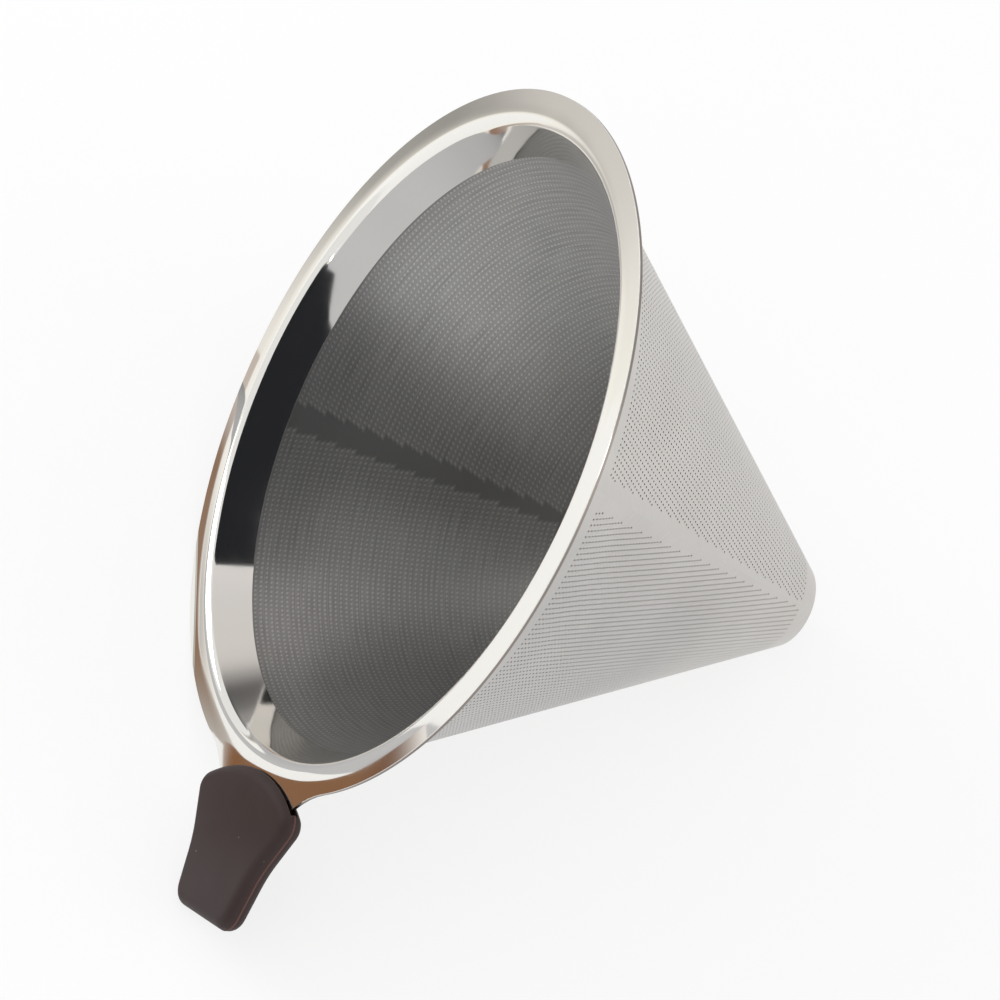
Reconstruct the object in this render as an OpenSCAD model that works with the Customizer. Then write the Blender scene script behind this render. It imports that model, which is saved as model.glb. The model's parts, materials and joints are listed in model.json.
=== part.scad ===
// Reusable cone filter for pour-over coffee, lying on its side as it comes to rest.
// Every piece is drawn on the filter's own axis, opening upwards, with the flange's top face
// at height zero and the handle along +X. lying() then turns each piece to where it rests.
// Walls are drawn by distance along the cone from its apex and depth into the wall.

/* [Cone] */
// Outer radius of the small end
base_radius = 8.25; // [5:0.25:15]
// Depth from the flange's top face to the small end
cone_depth = 87.3; // [70:0.1:120]
// Thickness of the perforated outer sheet
shell_sheet = 0.4; // [0.3:0.05:0.8]
// Thickness of the woven lining
mesh_sheet = 0.3; // [0.15:0.05:0.6]
// Clearance between one layer and the next
layer_gap = 0.05; // [0.02:0.01:0.1]
// How far the two walls are spread outwards where the rim's collar goes in
spread = 0.3; // [0.1:0.05:0.4]
// Distance below the collar's lower edge at which the walls are fully spread
spread_lead = 9.5; // [2:0.5:14]
// Length over which the walls bend outwards
spread_ramp = 2.5; // [1:0.5:4]

/* [Perforation] */
// Diameter of one hole
hole_diameter = 2.4; // [1:0.1:3.5]
// Distance between holes along a row
hole_pitch = 8.8; // [8.8:0.1:14]
// Distance between rows
row_pitch = 13.5; // [13.5:0.5:20]
// Plain border between the small end and the first row
lower_border = 9.4; // [5:0.1:12]
// Plain border between the last row and the spread wall
upper_border = 1.5; // [1.5:0.1:12]
// Half the angle of the plain band that runs down each side
band_half_angle = 2.8; // [1:0.1:5]

/* [Rim] */
// Outer radius of the flange
rim_radius = 62.5; // [61:0.5:75]
// Width of the flange from its outer edge to the cone's wall, carried up to its top face
flange_width = 4.15; // [3.8:0.05:8]
// Thickness of the rim's sheet
rim_sheet = 0.6; // [0.4:0.1:0.8]
// Radius of the polished bend from the flange into the collar
bend_radius = 2.7; // [1.5:0.1:3]
// Depth of the collar's lower edge below the flange's top face
collar_depth = 7; // [5:0.1:10]
// Width of the handle tab inside the grip
tab_width = 16; // [12:0.5:17]
// Radius of the hollow corners between the flange and the tab
tab_fillet = 20; // [14:0.5:22]
// Radius of the corners at the tab's end
tab_corner = 2.5; // [1:0.5:5]

/* [Small end] */
// Thickness of the plate that closes the small end
plate_sheet = 0.4; // [0.3:0.05:0.8]
// Height of the small end's edge below the plate
plate_recess = 0.4; // [0.2:0.1:2]
// Height of the plate's turned-up edge
plate_skirt = 3; // [1:0.5:6]

/* [Grip] */
// Distance from the flange's edge in to the middle of the grip's inner edge
grip_overlap = 2.5; // [1:0.1:3]
// Radius of the grip's inner edge
grip_inner_radius = 31.2; // [28:0.1:40]
// Angle through which one half of the grip's inner edge turns
grip_inner_turn = 28.3; // [24:0.1:30]
// Half the width of the grip's head, at its sharp corner
grip_head_half = 17.65; // [17.5:0.05:19]
// Length from the grip's inner edge to its waist
grip_waist_at = 15.3; // [13:0.1:17]
// Half the width of the grip's waist, at its sharp corner
grip_waist_half = 12.2; // [11.2:0.1:13]
// Length of the grip from its inner edge to its end
grip_length = 26.1; // [25:0.1:32]
// Half the width of the grip's end, at its sharp corner
grip_end_half = 9.95; // [9.5:0.05:11]
// Corner radius of the grip's head
grip_head_corner = 3; // [2:0.1:3]
// Radius of the hollow at the grip's waist
grip_waist_radius = 17.7; // [12:0.1:20]
// Corner radius of the grip's end
grip_end_corner = 3.6; // [2.2:0.1:4]
// Thickness of the grip
grip_thickness = 4.2; // [4:0.1:6]
// Rounding of the grip's edges
grip_edge = 1.9; // [1:0.1:1.95]
// Silicone left beyond the tab's end
grip_end_wall = 3; // [2:0.1:5]
// Clearance between the tab and its slot
slot_clearance = 0.1; // [0.05:0.05:0.2]
// Height of the slot's open mouth
mouth_height = 1.4; // [1.1:0.1:2]
// Depth of the slot's open mouth
mouth_depth = 5; // [3:0.5:6]
// Silicone left beside the mouth at the grip's head
mouth_wall = 2.4; // [1.5:0.1:4]

/* [Hidden] */
$fn = 180;
arc_steps = 8;
edge_steps = 6;
past = 1;

// Angle between the cone's wall and its axis, from the flange, the small end and the depth
half_angle = atan((rim_radius - flange_width - base_radius) / cone_depth);

// Apex of the wall's outer surface, and the wall's point at a slant distance and an inward depth
apex_z = -cone_depth - base_radius / tan(half_angle);
function wall(slant, inward) = [0, apex_z]
    + slant * [sin(half_angle), cos(half_angle)] + inward * [-cos(half_angle), sin(half_angle)];
function slant_at(z, inward) = (z - apex_z - inward * sin(half_angle)) / cos(half_angle);
function base_point(inward) = wall(slant_at(-cone_depth, inward), inward);

// Depth of each layer into the wall below the spread part
shell_inner = shell_sheet;
mesh_outer = shell_inner + layer_gap;
mesh_inner = mesh_outer + mesh_sheet;
collar_outer = mesh_inner + layer_gap - spread;
collar_inner = collar_outer + rim_sheet;

// The rim's bend, its flat ring and the collar's lower edge
bend_centre = [wall(slant_at(-bend_radius, collar_inner - bend_radius), collar_inner - bend_radius).x,
    -bend_radius];
collar_slant = slant_at(-collar_depth, collar_inner);
walls_top = slant_at(bend_centre.y + (bend_radius - rim_sheet) * sin(half_angle), collar_outer);
shell_rise = 1;

// Where the walls start to spread and where they are fully spread
spread_end = collar_slant - spread_lead;
spread_start = spread_end - spread_ramp;

// The rows of holes
first_row = base_radius / sin(half_angle) + lower_border;
last_row = spread_start - upper_border - hole_diameter / 2;
row_count = floor((last_row - first_row) / row_pitch) + 1;

// The tab's hollow corners and its end
grip_start = rim_radius - grip_overlap;
grip_end = grip_start + grip_length;
tab_half = tab_width / 2;
tab_end = grip_end - grip_end_wall;
fillet_y = tab_half + tab_fillet;
fillet_x = sqrt(pow(rim_radius + tab_fillet, 2) - pow(fillet_y, 2));

// The grip's middle height and the sharp corners of its outline, from its inner edge round one side
grip_z = -rim_sheet / 2;
inner_x = grip_start + grip_inner_radius * (1 - 1 / cos(grip_inner_turn));
side_outline = [[inner_x + grip_head_half * tan(grip_inner_turn), grip_head_half],
    [grip_start + grip_waist_at, grip_waist_half], [grip_end, grip_end_half]];
side_radii = [grip_head_corner, grip_waist_radius, grip_end_corner];
side_count = len(side_outline);
outline = concat([[inner_x, 0]], side_outline,
    [for (i = [side_count - 1 : -1 : 0]) [side_outline[i].x, -side_outline[i].y]]);
outline_radii = concat([grip_inner_radius], side_radii, [for (i = [side_count - 1 : -1 : 0]) side_radii[i]]);

// Each corner of the outline as an arc: its centre, radius, first angle and turn
function unit(v) = v / norm(v);
function corner(a, p, b, radius) = let (u = unit(a - p), v = unit(b - p), half = acos(u * v) / 2,
    centre = p + unit(u + v) * radius / sin(half), reach = radius / tan(half),
    from = p + u * reach - centre, to = p + v * reach - centre, start = atan2(from.y, from.x))
    [centre, radius, start, (atan2(to.y, to.x) - start + 540) % 360 - 180];
corner_count = len(outline);
corners = [for (i = [0 : corner_count - 1]) corner(outline[(i + corner_count - 1) % corner_count],
    outline[i], outline[(i + 1) % corner_count], outline_radii[i])];

// The outline at a height, drawn in by an inset, which tightens its round corners and opens its hollows
function ring(inset, z) = [for (c = corners, k = [0 : arc_steps])
    let (at = c[2] + c[3] * k / arc_steps, r = c[1] + inset * sign(c[3]))
    [c[0].x + r * cos(at), c[0].y + r * sin(at), z]];
ring_size = corner_count * (arc_steps + 1);

// Resting place: the flange's edge, the small end and one end corner of the grip touch the floor
rest_tilt = atan((rim_radius - base_radius) / (cone_depth - rim_sheet));
axis_height = rim_radius * cos(rest_tilt) + rim_sheet * sin(rest_tilt);
end_side = unit([grip_length - grip_waist_at, grip_end_half - grip_waist_half]);
corner_x = grip_end - grip_end_corner;
corner_y = grip_end_half - grip_end_corner * (1 + end_side.y) / end_side.x;
corner_reach = norm([corner_x, corner_y]);
corner_plan = grip_end_corner - grip_edge;
corner_drop = grip_thickness / 2 - grip_edge;
corner_along = (axis_height - grip_edge + (grip_z - corner_drop) * sin(rest_tilt)) / cos(rest_tilt)
    - corner_plan;
rest_roll = atan2(corner_y, corner_x) + acos(corner_along / corner_reach);

// Middle of the resting part's box, from the outermost points of the flange, grip and small end
side_reach = corner_reach * sin(rest_roll + atan2(corner_y, corner_x)) + grip_end_corner;
front_reach = max(rim_radius * sin(rest_tilt), sin(rest_tilt) * (corner_along + corner_plan)
    + grip_edge + cos(rest_tilt) * (grip_z + corner_drop));
back_reach = base_radius * sin(rest_tilt) + cone_depth * cos(rest_tilt);
middle = [(side_reach - rim_radius) / 2, (back_reach - front_reach) / 2];

module lying() {
    translate([-middle.x, -middle.y, axis_height])
        rotate([0, 0, -90])
            rotate([0, 90 - rest_tilt, 0])
                rotate([0, 0, rest_roll])
                    children();
}

// A wall layer between two depths, straight and then spread outwards, up to a slant distance
module layer(outer, inner, top) {
    rotate_extrude()
        polygon([base_point(outer), wall(spread_start, outer), wall(spread_end, outer - spread),
            wall(top, outer - spread), wall(top, inner - spread), wall(spread_end, inner - spread),
            wall(spread_start, inner), base_point(inner)]);
}

// One row of holes over each half of the cone, leaving the plain bands free
module hole_row(row) {
    slant = first_row + row * row_pitch;
    at = wall(slant, shell_inner / 2);
    usable = (180 - 2 * band_half_angle) * PI / 180 * at.x;
    count = floor(usable / hole_pitch);
    step = hole_pitch / at.x * 180 / PI;
    for (side = [0, 180], i = [0 : count - 1])
        rotate([0, 0, side + (i - (count - 1) / 2) * step])
            translate([at.x, 0, at.y])
                rotate([0, 90 + half_angle, 0])
                    cylinder(d = hole_diameter, h = shell_sheet + 2 * past, center = true, $fn = 24);
}

// Outer cone, a rolled sheet with two fields of holes and plain borders and bands between them
module outer_cone() {
    color([0.78, 0.77, 0.75])
        difference() {
            layer(0, shell_inner, walls_top + shell_rise);
            for (row = [0 : row_count - 1])
                hole_row(row);
        }
}

// Inner lining of fine woven wire, close behind the outer cone
module inner_mesh() {
    color([0.45, 0.44, 0.43])
        layer(mesh_outer, mesh_inner, walls_top);
}

// Section of the rim: flat ring, rounded bend and the collar that lines the cone's mouth
function bend_arc(radius, rising) = [for (k = [0 : arc_steps])
    let (turn = (90 - half_angle) * (rising ? arc_steps - k : k) / arc_steps)
    bend_centre + radius * [-sin(turn), cos(turn)]];
rim_section = concat([[rim_radius, 0]], bend_arc(bend_radius, false),
    [wall(collar_slant, collar_inner), wall(collar_slant, collar_outer)],
    bend_arc(bend_radius - rim_sheet, true), [[rim_radius, -rim_sheet]]);

// The tab's plan, its hollow corners running into the flange's edge
module tab_plan() {
    difference() {
        polygon([[0, 0], [fillet_x, -fillet_y], [fillet_x, fillet_y]]);
        for (side = [-1, 1])
            translate([fillet_x, side * fillet_y])
                circle(r = tab_fillet);
    }
    translate([fillet_x - past, -tab_half])
        square([tab_end - tab_corner - fillet_x + past, tab_width]);
    translate([fillet_x, -tab_half + tab_corner])
        square([tab_end - fillet_x, tab_width - 2 * tab_corner]);
    for (side = [-1, 1])
        translate([tab_end - tab_corner, side * (tab_half - tab_corner)])
            circle(r = tab_corner);
}

// Rim, one pressed and polished sheet: flange, collar and handle tab
module rim_with_tab() {
    color([0.86, 0.85, 0.83])
        union() {
            rotate_extrude()
                polygon(rim_section);
            translate([0, 0, -rim_sheet])
                linear_extrude(rim_sheet)
                    difference() {
                        tab_plan();
                        circle(r = bend_centre.x + past);
                    }
        }
}

// Small plate inside the small end, its edge turned up along the lining
module end_plate() {
    bottom = plate_recess - cone_depth;
    outer = mesh_inner + layer_gap;
    low = wall(slant_at(bottom, outer), outer);
    high = wall(slant_at(bottom + plate_skirt, outer), outer);
    in = plate_sheet / cos(half_angle);
    color([0.72, 0.71, 0.70])
        rotate_extrude()
            polygon([[0, low.y], low, high, high - [in, 0],
                [low.x + plate_sheet * tan(half_angle) - in, low.y + plate_sheet],
                [0, low.y + plate_sheet]]);
}

// Slot for the tab, with a wider and higher mouth at the grip's inner edge
module slot() {
    r = tab_fillet - slot_clearance;
    first = asin((fillet_x - grip_start + past) / r);
    one_side = concat([for (k = [0 : arc_steps]) let (at = first * (1 - k / arc_steps))
        [fillet_x - r * sin(at), fillet_y - r * cos(at)]],
        [[tab_end + slot_clearance, tab_half + slot_clearance]]);
    count = len(one_side);
    translate([0, 0, -rim_sheet - slot_clearance])
        linear_extrude(rim_sheet + 2 * slot_clearance)
            polygon([for (i = [0 : 2 * count - 1]) i < count ? one_side[i]
                : [one_side[2 * count - 1 - i].x, -one_side[2 * count - 1 - i].y]]);
    mouth_half = grip_head_half - mouth_wall;
    translate([grip_start - past, -mouth_half, grip_z - mouth_height / 2])
        cube([mouth_depth + past, 2 * mouth_half, mouth_height]);
}

// Body of the grip, the outline stacked in rings that round its lower and upper edges
module grip_body() {
    rings = [for (side = [-1, 1], k = [0 : edge_steps])
        let (rise = side < 0 ? k * 90 / edge_steps - 90 : k * 90 / edge_steps)
        ring(grip_edge * (1 - cos(rise)), grip_z + side * corner_drop + grip_edge * sin(rise))];
    last = len(rings) - 1;
    sides = [for (r = [0 : last - 1], i = [0 : ring_size - 1])
        let (a = r * ring_size, b = a + ring_size, j = (i + 1) % ring_size)
        each [[a + i, a + j, b + j], [a + i, b + j, b + i]]];
    lower = [for (i = [0 : ring_size - 1]) ring_size - 1 - i];
    upper = [for (i = [0 : ring_size - 1]) last * ring_size + i];
    polyhedron([for (r = rings) each r], concat([lower], sides, [upper]));
}

// Grip, a soft sleeve with rounded edges that is pushed over the tab
module handle_grip() {
    color([0.27, 0.21, 0.2])
        difference() {
            grip_body();
            slot();
        }
}

lying() rim_with_tab();
lying() outer_cone();
lying() inner_mesh();
lying() end_plate();
lying() handle_grip();
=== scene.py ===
"""A reusable steel cone filter for pour-over coffee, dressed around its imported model.

Every piece is drawn on the filter's own axis, opening upwards, with the flange's top face at
height zero and the handle along +X, in metres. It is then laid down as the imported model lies.
"""

import json
import logging
import math
from dataclasses import dataclass, field
from enum import Enum

import bmesh
import bpy
import numpy as np
from mathutils import Matrix, Vector

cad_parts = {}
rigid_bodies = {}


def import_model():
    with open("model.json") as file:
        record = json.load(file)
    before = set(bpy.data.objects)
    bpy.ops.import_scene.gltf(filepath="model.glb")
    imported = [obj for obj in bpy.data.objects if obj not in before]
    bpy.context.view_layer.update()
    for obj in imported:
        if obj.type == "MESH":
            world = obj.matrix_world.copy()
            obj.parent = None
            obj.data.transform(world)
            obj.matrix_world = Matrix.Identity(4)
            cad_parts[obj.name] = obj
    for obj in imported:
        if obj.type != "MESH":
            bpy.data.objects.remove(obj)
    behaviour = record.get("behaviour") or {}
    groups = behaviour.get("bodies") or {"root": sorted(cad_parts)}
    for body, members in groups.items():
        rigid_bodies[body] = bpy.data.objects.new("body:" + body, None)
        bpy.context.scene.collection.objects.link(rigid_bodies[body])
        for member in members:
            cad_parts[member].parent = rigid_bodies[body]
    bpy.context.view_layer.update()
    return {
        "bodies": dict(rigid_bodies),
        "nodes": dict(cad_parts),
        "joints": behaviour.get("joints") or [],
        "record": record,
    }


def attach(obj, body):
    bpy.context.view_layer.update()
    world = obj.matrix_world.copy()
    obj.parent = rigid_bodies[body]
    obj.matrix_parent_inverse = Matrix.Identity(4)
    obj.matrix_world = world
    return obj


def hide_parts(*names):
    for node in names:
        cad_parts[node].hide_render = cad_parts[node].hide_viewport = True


log = logging.getLogger("cone_filter")

MM = 0.001
SAME_PLACE = 1e-6
BODY = "root"
Place = tuple[float, float, float]


class Part(Enum):
    """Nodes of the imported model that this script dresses."""

    RIM = "rim_with_tab"
    CONE = "outer_cone"
    LINING = "inner_mesh"
    PLATE = "end_plate"
    GRIP = "handle_grip"


class Slot(Enum):
    """Material slots of the record."""

    RIM = "polished_rim"
    CONE = "perforated_sheet"
    LINING = "woven_lining"
    PLATE = "end_sheet"
    GRIP = "grip_silicone"


def linear(colour: str) -> tuple[float, float, float, float]:
    """Turn an sRGB hex colour into the linear values that a shader reads.

    Args:
        colour: The colour as six hex digits after a hash sign.

    Returns:
        Linear red, green, blue and an alpha of one.
    """
    parts = [int(colour[i : i + 2], 16) / 255 for i in (1, 3, 5)]
    values = [p / 12.92 if p <= 0.04045 else ((p + 0.055) / 1.055) ** 2.4 for p in parts]
    return (values[0], values[1], values[2], 1.0)


def add_node(
    tree: bpy.types.NodeTree, kind: str, inputs: dict | None = None, **settings
) -> bpy.types.Node:
    """Add a shader node, set it and link it.

    Args:
        tree: The node tree that gets the node.
        kind: The node's type name.
        inputs: What goes into each input, by name or number: a value, or a socket to link.
        **settings: The node's own settings.

    Returns:
        The new node.
    """
    node = tree.nodes.new(kind)
    for name, value in settings.items():
        setattr(node, name, value)
    for key, value in (inputs or {}).items():
        if isinstance(value, bpy.types.NodeSocket):
            tree.links.new(value, node.inputs[key])
        else:
            node.inputs[key].default_value = value
    return node


def new_material(name: str) -> tuple[bpy.types.Material, bpy.types.NodeTree, bpy.types.Node]:
    """Make an empty material.

    Args:
        name: The material's name.

    Returns:
        The material, its node tree and its output node.
    """
    material = bpy.data.materials.new(name)
    material.use_nodes = True
    tree = material.node_tree
    tree.nodes.clear()
    return material, tree, add_node(tree, "ShaderNodeOutputMaterial")


def select_only(*objects: bpy.types.Object) -> None:
    """Select these objects alone, the first as the active one.

    Args:
        *objects: The objects.
    """
    bpy.ops.object.select_all(action="DESELECT")
    for item in objects:
        item.select_set(True)
    bpy.context.view_layer.objects.active = objects[0]


def points_of(item: bpy.types.Object) -> np.ndarray:
    """Read a mesh's points.

    Args:
        item: The object with the mesh.

    Returns:
        A row of x, y and z for each point.
    """
    points = np.empty(len(item.data.vertices) * 3)
    item.data.vertices.foreach_get("co", points)
    return points.reshape(-1, 3)


def place_points(item: bpy.types.Object, points: np.ndarray) -> None:
    """Write a mesh's points from rows of x, y and z."""
    item.data.vertices.foreach_set("co", points.ravel())
    item.data.update()


def apply_modifier(item: bpy.types.Object, kind: str, **settings) -> None:
    """Add a modifier to an object and apply it.

    Args:
        item: The object that is changed.
        kind: The modifier's type name.
        **settings: The modifier's own settings.
    """
    select_only(item)
    modifier = item.modifiers.new(kind.lower(), kind)
    for name, value in settings.items():
        setattr(modifier, name, value)
    bpy.ops.object.modifier_apply(modifier=modifier.name)


@dataclass(frozen=True)
class RestingPose:
    """How the filter lies, as the part's source works it out from the sizes.

    Attributes:
        tilt: Angle between the axis and the floor.
        roll: Turn about the filter's own axis.
        axis_height: Height of the middle of the flange's top face.
        middle: What is taken off, seen from above, to stand the model over the origin.
    """

    tilt: float = math.radians(32.0351)
    roll: float = math.radians(49.7930)
    axis_height: float = 53.3010 * MM
    middle: tuple[float, float] = (4.3201 * MM, 22.2852 * MM)

    def matrix(self) -> Matrix:
        """Give the turn and move from the filter's own axis to where it lies.

        Returns:
            The matrix that lays a piece down.
        """
        turn = Matrix.Rotation(math.radians(-90), 4, "Z")
        turn = turn @ Matrix.Rotation(math.radians(90) - self.tilt, 4, "Y")
        move = Matrix.Translation((-self.middle[0], -self.middle[1], self.axis_height))
        return move @ turn @ Matrix.Rotation(self.roll, 4, "Z")

    def own_point(self, tree: bpy.types.NodeTree) -> bpy.types.NodeSocket:
        """Give a shader the place of each point on the filter's own axis.

        Args:
            tree: The node tree that reads it.

        Returns:
            The socket that carries the place.
        """
        where = add_node(tree, "ShaderNodeTexCoord")
        matrix = self.matrix()
        return add_node(
            tree, "ShaderNodeMapping",
            {"Vector": where.outputs["Object"], "Location": matrix.translation,
             "Rotation": matrix.to_euler()},
            vector_type="TEXTURE",
        ).outputs[0]


@dataclass(frozen=True)
class ConeShape:
    """The cone's form, shared by the sheets, the lining and the rim.

    Attributes:
        rim_radius: Outer radius of the flange.
        flange_width: From the flange's edge to the cone's outer surface at its top.
        base_radius: Outer radius of the small end.
        depth: From the flange's top face to the small end.
        shell_sheet: Thickness of the punched sheets.
        lining_sheet: Thickness of the woven lining.
        layer_gap: Gap between two layers of the wall.
        spread: How far the walls are pushed outwards at the top, to make room for the collar.
        spread_lead: How far below the collar the walls have reached their full spread.
        spread_ramp: Length over which the walls spread.
        rim_sheet: Thickness of the rim.
        bend_radius: Outer radius of the rim's bend.
        bend_lead: Length of the flange's gentle start of the bend.
        lead_angle: Angle of the flange where the round bend starts.
        collar_depth: From the flange's top face to the collar's lower edge.
        sheet_rise: How far the punched sheets run past the walls' other layers at the top.
    """

    rim_radius: float = 62.5 * MM
    flange_width: float = 4.15 * MM
    base_radius: float = 8.25 * MM
    depth: float = 87.3 * MM
    shell_sheet: float = 0.4 * MM
    lining_sheet: float = 0.3 * MM
    layer_gap: float = 0.05 * MM
    spread: float = 0.3 * MM
    spread_lead: float = 0.5 * MM
    spread_ramp: float = 10 * MM
    rim_sheet: float = 0.6 * MM
    bend_radius: float = 2.7 * MM
    bend_lead: float = 1.8 * MM
    lead_angle: float = math.radians(3)
    collar_depth: float = 7 * MM
    sheet_rise: float = 1 * MM

    @property
    def half_angle(self) -> float:
        """Angle between the wall and the axis."""
        return math.atan((self.rim_radius - self.flange_width - self.base_radius) / self.depth)

    @property
    def apex(self) -> float:
        """Height of the outer surface's apex."""
        return -self.depth - self.base_radius / math.tan(self.half_angle)

    @property
    def lining_outer(self) -> float:
        """Depth of the lining's outer face into the wall."""
        return self.shell_sheet + self.layer_gap

    @property
    def collar_inner(self) -> float:
        """Depth of the collar's polished face into the wall."""
        return self.lining_outer + self.lining_sheet + self.layer_gap - self.spread + self.rim_sheet

    @property
    def collar_slant(self) -> float:
        """Slant distance of the collar's lower edge."""
        return self.slant_at(-self.collar_depth, self.collar_inner)

    @property
    def wall_top(self) -> float:
        """Slant distance of the walls' hidden upper edge, under the bend.

        Returns:
            The distance from the apex.
        """
        centre = self.bend_centre
        height = centre[1] + (self.bend_radius - self.rim_sheet) * math.sin(self.half_angle)
        return self.slant_at(height, self.collar_inner - self.rim_sheet)

    @property
    def sheet_top(self) -> float:
        """Slant distance of the punched sheets' hidden upper edge."""
        return self.wall_top + self.sheet_rise

    @property
    def bend_centre(self) -> tuple[float, float]:
        """Middle of the rim's round bend.

        Returns:
            Its radius and height.
        """
        inward = self.collar_inner - self.bend_radius
        drop = self.bend_lead * math.tan(self.lead_angle / 2)
        height = -drop - self.bend_radius * math.cos(self.lead_angle)
        return self.wall(self.slant_at(height, inward), inward)[0], height

    def wall(self, slant: float, inward: float) -> tuple[float, float]:
        """Radius and height at a slant distance and an inward depth."""
        sine, cosine = math.sin(self.half_angle), math.cos(self.half_angle)
        return slant * sine - inward * cosine, self.apex + slant * cosine + inward * sine

    def slant_at(self, height: float, inward: float) -> float:
        """Slant distance at a height and an inward depth."""
        return (height - self.apex - inward * math.sin(self.half_angle)) / math.cos(self.half_angle)

    def spread_at(self, slant: np.ndarray) -> np.ndarray:
        """How far the walls are pushed outwards at a slant distance.

        Args:
            slant: Slant distances.

        Returns:
            The outward shift at each.
        """
        end = self.collar_slant - self.spread_lead
        share = np.clip((slant - end + self.spread_ramp) / self.spread_ramp, 0, 1)
        return self.spread * share * share * (3 - 2 * share)

    def rolled(self, flat: np.ndarray, inward: float = 0.0) -> np.ndarray:
        """Roll a flat sheet onto the cone.

        Args:
            flat: Points on the flat sheet, apex at the origin, middle line along +Y, outside up.
            inward: Depth of the sheet's outer face into the wall.

        Returns:
            The points on the cone, the middle line at the handle.
        """
        slant = np.hypot(flat[:, 0], flat[:, 1])
        around = np.arctan2(flat[:, 0], flat[:, 1]) / math.sin(self.half_angle)
        deep = inward - flat[:, 2] - self.spread_at(slant)
        radius = slant * math.sin(self.half_angle) - deep * math.cos(self.half_angle)
        height = self.apex + slant * math.cos(self.half_angle) + deep * math.sin(self.half_angle)
        return np.stack([radius * np.cos(around), radius * np.sin(around), height], 1)


@dataclass(frozen=True)
class HoleField:
    """The punched holes: arcs round the axis, each second one half a pitch along.

    Attributes:
        arcs: Number of arcs of holes.
        first_slant: Slant distance of the lowest arc.
        arc_pitch: Distance between two arcs.
        hole_pitch: Distance between two holes of an arc.
        hole_reach: From a hole's middle to its corner, as a share of the pitch.
        band_half_angle: Half of the plain band at a seam, as an angle about the axis.
        seam_turn: Turn of the seams away from the middle between handle and far side.
    """

    arcs: int = 91
    first_slant: float = 22.6 * MM
    arc_pitch: float = 0.959 * MM
    hole_pitch: float = 0.976 * MM
    hole_reach: float = 0.22
    band_half_angle: float = math.radians(2.8)
    seam_turn: float = math.radians(1.2)

    def columns(self, shape: ConeShape) -> int:
        """Count the holes from the middle line to the side of a half sheet at the top."""
        quarter = math.pi / 2 * math.sin(shape.half_angle) * shape.sheet_top
        return math.ceil(quarter / self.hole_pitch) + 1


def finish_piece(item: bpy.types.Object, name: str, material: bpy.types.Material, pose: RestingPose,
                 node: Part) -> bpy.types.Object:
    """Lay a finished piece down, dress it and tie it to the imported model.

    Args:
        item: The piece, drawn on the filter's own axis.
        name: The piece's name.
        material: Its finish.
        pose: How the filter lies.
        node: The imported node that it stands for.

    Returns:
        The same piece.
    """
    item.name = item.data.name = name
    select_only(item)
    item.matrix_world = pose.matrix() @ item.matrix_world
    bpy.ops.object.transform_apply(location=True, rotation=True, scale=True)
    item.data.materials.clear()
    item.data.materials.append(material)
    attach(item, BODY)
    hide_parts(node.value)
    triangles = sum(len(face.vertices) - 2 for face in item.data.polygons)
    log.info("%s: %d triangles", name, triangles)
    return item


@dataclass(frozen=True)
class RolledSteel:
    """Satin stainless sheet, cold rolled: a soft sheen with faint lines along the rolling.

    Attributes:
        colour: The light tone.
        shade: The dark tone.
        roughness: Middle value of the roughness.
        unevenness: How far the roughness strays from it.
        patch_size: Size of the broad patches.
        tone_stops: Values of the pattern where the dark and the light tone begin.
        line_spacing: Distance between the rolling lines.
        line_length: Length of the rolling lines.
        line_depth: Depth of the rolling lines.
        line_strength: Strength of their bump.
    """

    colour: str = "#cfccc8"
    shade: str = "#c6c3bf"
    roughness: float = 0.4
    unevenness: float = 0.02
    patch_size: float = 14 * MM
    tone_stops: tuple[float, float] = (0.1, 0.42)
    line_spacing: float = 0.22 * MM
    line_length: float = 9 * MM
    line_depth: float = 0.02 * MM
    line_strength: float = 0.04

    def material(self) -> bpy.types.Material:
        """Build the finish from the sheet's own flat map.

        Returns:
            The material.
        """
        material, tree, output = new_material("rolled_stainless_sheet")
        flat = add_node(tree, "ShaderNodeUVMap", uv_map="flat")
        lines = add_node(
            tree, "ShaderNodeMapping",
            {"Vector": flat.outputs[0], "Scale": (1 / self.line_spacing, 1 / self.line_length, 1)},
        )
        grain = add_node(
            tree, "ShaderNodeTexNoise", {"Vector": lines.outputs[0], "Scale": 1.0, "Detail": 3.0}
        )
        patches = add_node(
            tree, "ShaderNodeTexNoise", {"Vector": flat.outputs[0], "Scale": 1 / self.patch_size}
        )
        tone = add_node(
            tree, "ShaderNodeMath",
            {0: grain.outputs[0], 1: patches.outputs[0]},
            operation="MULTIPLY",
        )
        colour = add_node(tree, "ShaderNodeValToRGB", {"Fac": tone.outputs[0]})
        stops = zip(colour.color_ramp.elements, self.tone_stops, (self.shade, self.colour))
        for stop, position, tint in stops:
            stop.position = position
            stop.color = linear(tint)
        rough = add_node(
            tree, "ShaderNodeMapRange",
            {"Value": patches.outputs[0], "To Min": self.roughness - self.unevenness,
             "To Max": self.roughness + self.unevenness},
        )
        bump = add_node(
            tree, "ShaderNodeBump",
            {"Height": grain.outputs[0], "Strength": self.line_strength,
             "Distance": self.line_depth},
        )
        shader = add_node(
            tree, "ShaderNodeBsdfPrincipled",
            {"Base Color": colour.outputs[0], "Metallic": 1.0, "Roughness": rough.outputs[0],
             "Normal": bump.outputs[0]},
        )
        tree.links.new(shader.outputs[0], output.inputs[0])
        return material


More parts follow.
